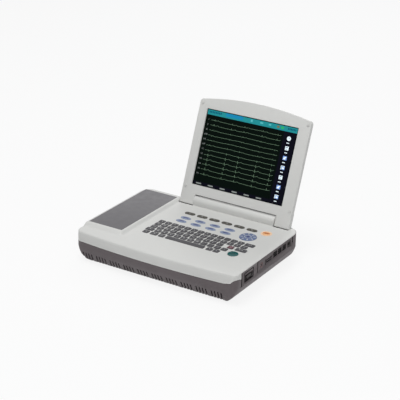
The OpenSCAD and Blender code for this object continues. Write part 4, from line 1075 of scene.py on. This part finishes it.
def make_soft_keys():
    for k in range(1, 7):
        node = f"soft_key_{k}"
        cx, cy, w, d = face_of(node)
        top = single_key(node, "key_grey", lambda i: stadium(cx, cy, w - 2 * i, d - 2 * i),
                         stadium(cx, cy, w + 2 * FLANGE, d + 2 * FLANGE), SOFT_GREY)
        words(node + "_legend", [(f"F{k}", cx, cy, 5.2)], LEGEND_WHITE, node, raised(top))
    for k in range(1, 9):
        node = f"oval_key_{k}"
        cx, cy, w, d, top = oval_key(node, "key_blue", 40)
        flat_marks(node + "_legend", [stadium(cx, cy, 0.56 * w, 0.34 * d)], LEGEND_NAVY, node, top)


def ring_marks(cx, cy, r0, r1, start, end, steps):
    return arc(cx, cy, r1, start, end, steps) + list(reversed(arc(cx, cy, r0, start, end, steps)))


HALO_R = 13.4


def make_round_buttons():
    cx, cy, w, d, top = oval_key("nav_pad", "nav_blue", 64)
    marks = []
    for k in range(8):
        turn = math.radians(45 * k + 22.5)
        out = Vector((math.cos(turn), math.sin(turn)))
        side = Vector((-out.y, out.x)) * 1.1
        bar = (12 * out - side, 18 * out - side, 18 * out + side, 12 * out + side)
        marks.append([tuple(Vector((cx, cy)) + v) for v in bar])
    marks.append(ring_marks(cx, cy, 7.0, 8.0, 0, 359, 40))
    diamond = [(cx + 4.6, cy), (cx, cy + 4.6), (cx - 4.6, cy), (cx, cy - 4.6)]
    flat_marks("nav_pad_centre", [diamond], LEGEND_NAVY, "nav_pad", top)
    flat_marks("nav_pad_legend", marks, LEGEND_WHITE, "nav_pad", top)

    cx, cy, w, d, top = oval_key("power_button", "power_orange", 48)
    field, legend = moulded("field_rust", (0.56, 0.17, 0.03), 0.4), moulded("legend_rust", (0.3, 0.07, 0.012))
    flat_marks("power_button_field", [stadium(cx, cy, 16.5, 7.4)], field, "power_button", top)
    marks = [ring_marks(cx, cy, 2.2, 3.1, 120, 420, 30), rect(cx - 0.5, cy + 0.6, cx + 0.5, cy + 3.5)]
    flat_marks("power_button_legend", marks, legend, "power_button", top + PRINT_LIFT)
    halo = boolean(prism(circle(cx, cy, HALO_R, 64), DECK_Z - 0.4, DECK_Z + 0.35),
                   prism(ellipse(cx, cy, w / 2 + KEY_GAP, d / 2 + KEY_GAP, 64), DECK_Z - 2, DECK_Z + 2))
    bevel_edges(halo, 0.3, lambda e: is_sharp(e) and all(v.co.z > DECK_Z for v in e.verts), 3)
    body_piece("power_halo", halo, HALO)

    cx, cy, w, d, top = oval_key("print_button", "print_teal", 48)
    marks = [rect(cx - 4.4, cy - 3, cx + 4.4, cy + 1.6), rect(cx - 2.8, cy + 2.2, cx + 2.8, cy + 4.2)]
    flat_marks("print_button_legend", marks, moulded("legend_mint", (0.004, 0.05, 0.05)), "print_button", top)


# ---- socket panel
SEAM_Y, SEAM_W, SLIT_Y, SLIT_W = 95.0, 3.0, 253.8, 4.2
JACK_Y, JACK_Z, CARD_Y = 114.0, 56.0, 146.0
FACE_X = HALF_W - 0.2  # the panel's face


def side_piece(name, outline, material=BLACK_AND_PAINTED_SHADE, hole=None, low_x=FACE_X - 0.1, high_x=FACE_X + 0.15,
               soften=0.15):
    """A thin part on the panel's face, from an outline of (y, z) points."""
    bm = prism(outline, low_x, high_x, "x")
    if hole:
        bm = boolean(bm, prism(hole, low_x - 1, high_x + 1, "x"))
    if soften:
        bevel_edges(bm, soften, lambda e: is_sharp(e) and all(v.co.x > high_x - 0.01 for v in e.verts))
    body_piece(name, bm, material)


def make_side_panel():
    bm = tidy(cad_copy("port_panel"))
    bm.transform(Matrix.Scale(1 / MM, 4) @ BODY_FRAME.inverted())
    slots = [panel_slit(SEAM_Y, 44, 72, SEAM_W, 1.2), panel_slit(SLIT_Y, 56, 70.5, SLIT_W, 4.0)]
    bm = boolean(bm, join(slots))
    bevel_edges(bm, 0.3, is_sharp)
    body_finish("port_panel", bm, "side_panel")
    # black strips in the gap before the panel, in its seam and in its slit: painted shade that makes them
    # read dark
    side_piece("panel_gap_shade", rect(PANEL_Y0 - GAP_W + 0.1, 37.2, PANEL_Y0 - 0.1, 71),
               low_x=HALF_W - 3.6, high_x=HALF_W - 0.8)
    side_piece("seam_shade", rect(SEAM_Y + 0.05, 44.2, SEAM_Y + SEAM_W - 0.05, 71),
               low_x=HALF_W - 1.3, high_x=HALF_W - 0.5, soften=0)
    side_piece("slit_shade", rect(SLIT_Y + 0.1, 56.2, SLIT_Y + SLIT_W - 0.1, 70.3),
               low_x=HALF_W - 3.9, high_x=HALF_W - 0.6, soften=0)
    side_piece("jack_collar", circle(JACK_Y, JACK_Z, 6.4, 32), moulded("collar_brown", (0.085, 0.03, 0.032)),
               circle(JACK_Y, JACK_Z, 3.1, 32))
    side_piece("card_eject_key", rect(CARD_Y - 15.4, 49.6, CARD_Y - 12.8, 62.6))
    side_piece("card_lip", rect(CARD_Y - 12, 52.8, CARD_Y + 12, 55.9))
    (_, y0, z0), (_, y1, _) = (body_mm(corner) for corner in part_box("ecg_socket"))
    side_piece("ecg_surround", rect(y0 - 4.5, z0 - 0.6, y1 + 1.5, 66.6),
               hole=rect(y0 - 2.0, z0 + 1.6, y1 - 1.2, 64.6))
    for node, grow_y, grow_z in (("usb_ports", 1.2, 3.4), ("lan_port", 0.3, 0.4)):
        for k, box in enumerate(islands(node), 1):
            (_, y0, z0), (_, y1, z1) = (body_mm(corner) for corner in box)
            side_piece(f"{node}_surround_{k}", rect(y0 - grow_y, z0 - grow_z, y1 + grow_y, z1 + grow_z),
                       hole=rect(y0 + 0.2, z0 + 0.2, y1 - 0.2, z1 - 0.2))


# ---- the rest
def make_feet():
    """Tapered feet with a domed tread."""
    feet = []
    for a, b in islands("rubber_feet"):
        cx, cy, r = (a.x + b.x) / 2 / MM, ((a.y + b.y) / 2 - FRONT_Y) / MM, (b.x - a.x) / 2 / MM
        steps = [(0, b.z / MM), (0, 3.9), (0.6, 3.2), (1.6, 1.6), (2.6, 0.5), (3.6, 0.1), (4.6, 0)]
        feet.append(loft([[(x, y, z) for x, y in circle(cx, cy, r - inset)] for inset, z in steps]))
    body_piece("rubber_feet_finish", join(feet), MAT["black_rubber"], "base",
               ("rubber_feet",))


def make_cover_ends():
    """Thin discs that close the ends of the hinge cover."""
    low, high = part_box("hinge_cover")
    arch = (high.z / MM - AXIS_Z) - 0.2
    for side, x in (("left", low.x / MM - 0.4), ("right", high.x / MM - 0.05)):
        disc = boolean(prism(hinge_circle(arch), x, x + 0.45, "x"),
                       prism(rect(AXIS_Y - 20, 0, AXIS_Y + 20, DECK_Z), x - 1, x + 1, "x"))
        body_piece(f"cover_end_{side}", disc, MAT["white_shell"])


def make_fittings():
    dressed("hinge_cover", 0.8, 3, angle_deg=50)
    make_cover_ends()
    dressed("printer_door", 0.5, 3, angle_deg=50)
    make_side_panel()
    for node in ("ecg_socket", "usb_ports", "lan_port"):
        dressed(node, 0.2, 2, DULL_METAL)
    dressed("card_reader", 0.2, 2, MAT["side_panel"])
    make_feet()
    dressed("screen_bumpers", 1.1, 4)
    for node in ("mains_inlet", "mains_switch", "ground_post", "audio_jack", "battery_door", "battery_pack",
                 "power_supply", "print_head", "stepper_motor", "hinge_knuckles", "speaker", "lcd_panel",
                 "status_lights"):
        dressed(node, 0.3)


bpy.context.scene.view_settings.view_transform = "Standard"
make_camera()
make_world()
make_floor()
area_light("overhead", (-0.1, -0.4, 3.0), (0, 0, 0.1), 40.5)
area_light("fill", (1.8, -2.3, 1.5), (0, 0, 0.1), 19)
area_light("rear", (-0.6, 2.4, 1.8), (0, 0, 0.15), 10)
dress_frame()
make_upper_shell()
make_lower_shell()
make_vent_shade()
make_bezel()
make_screen_back()
make_picture()
make_keys()
make_soft_keys()
make_round_buttons()
make_fittings()
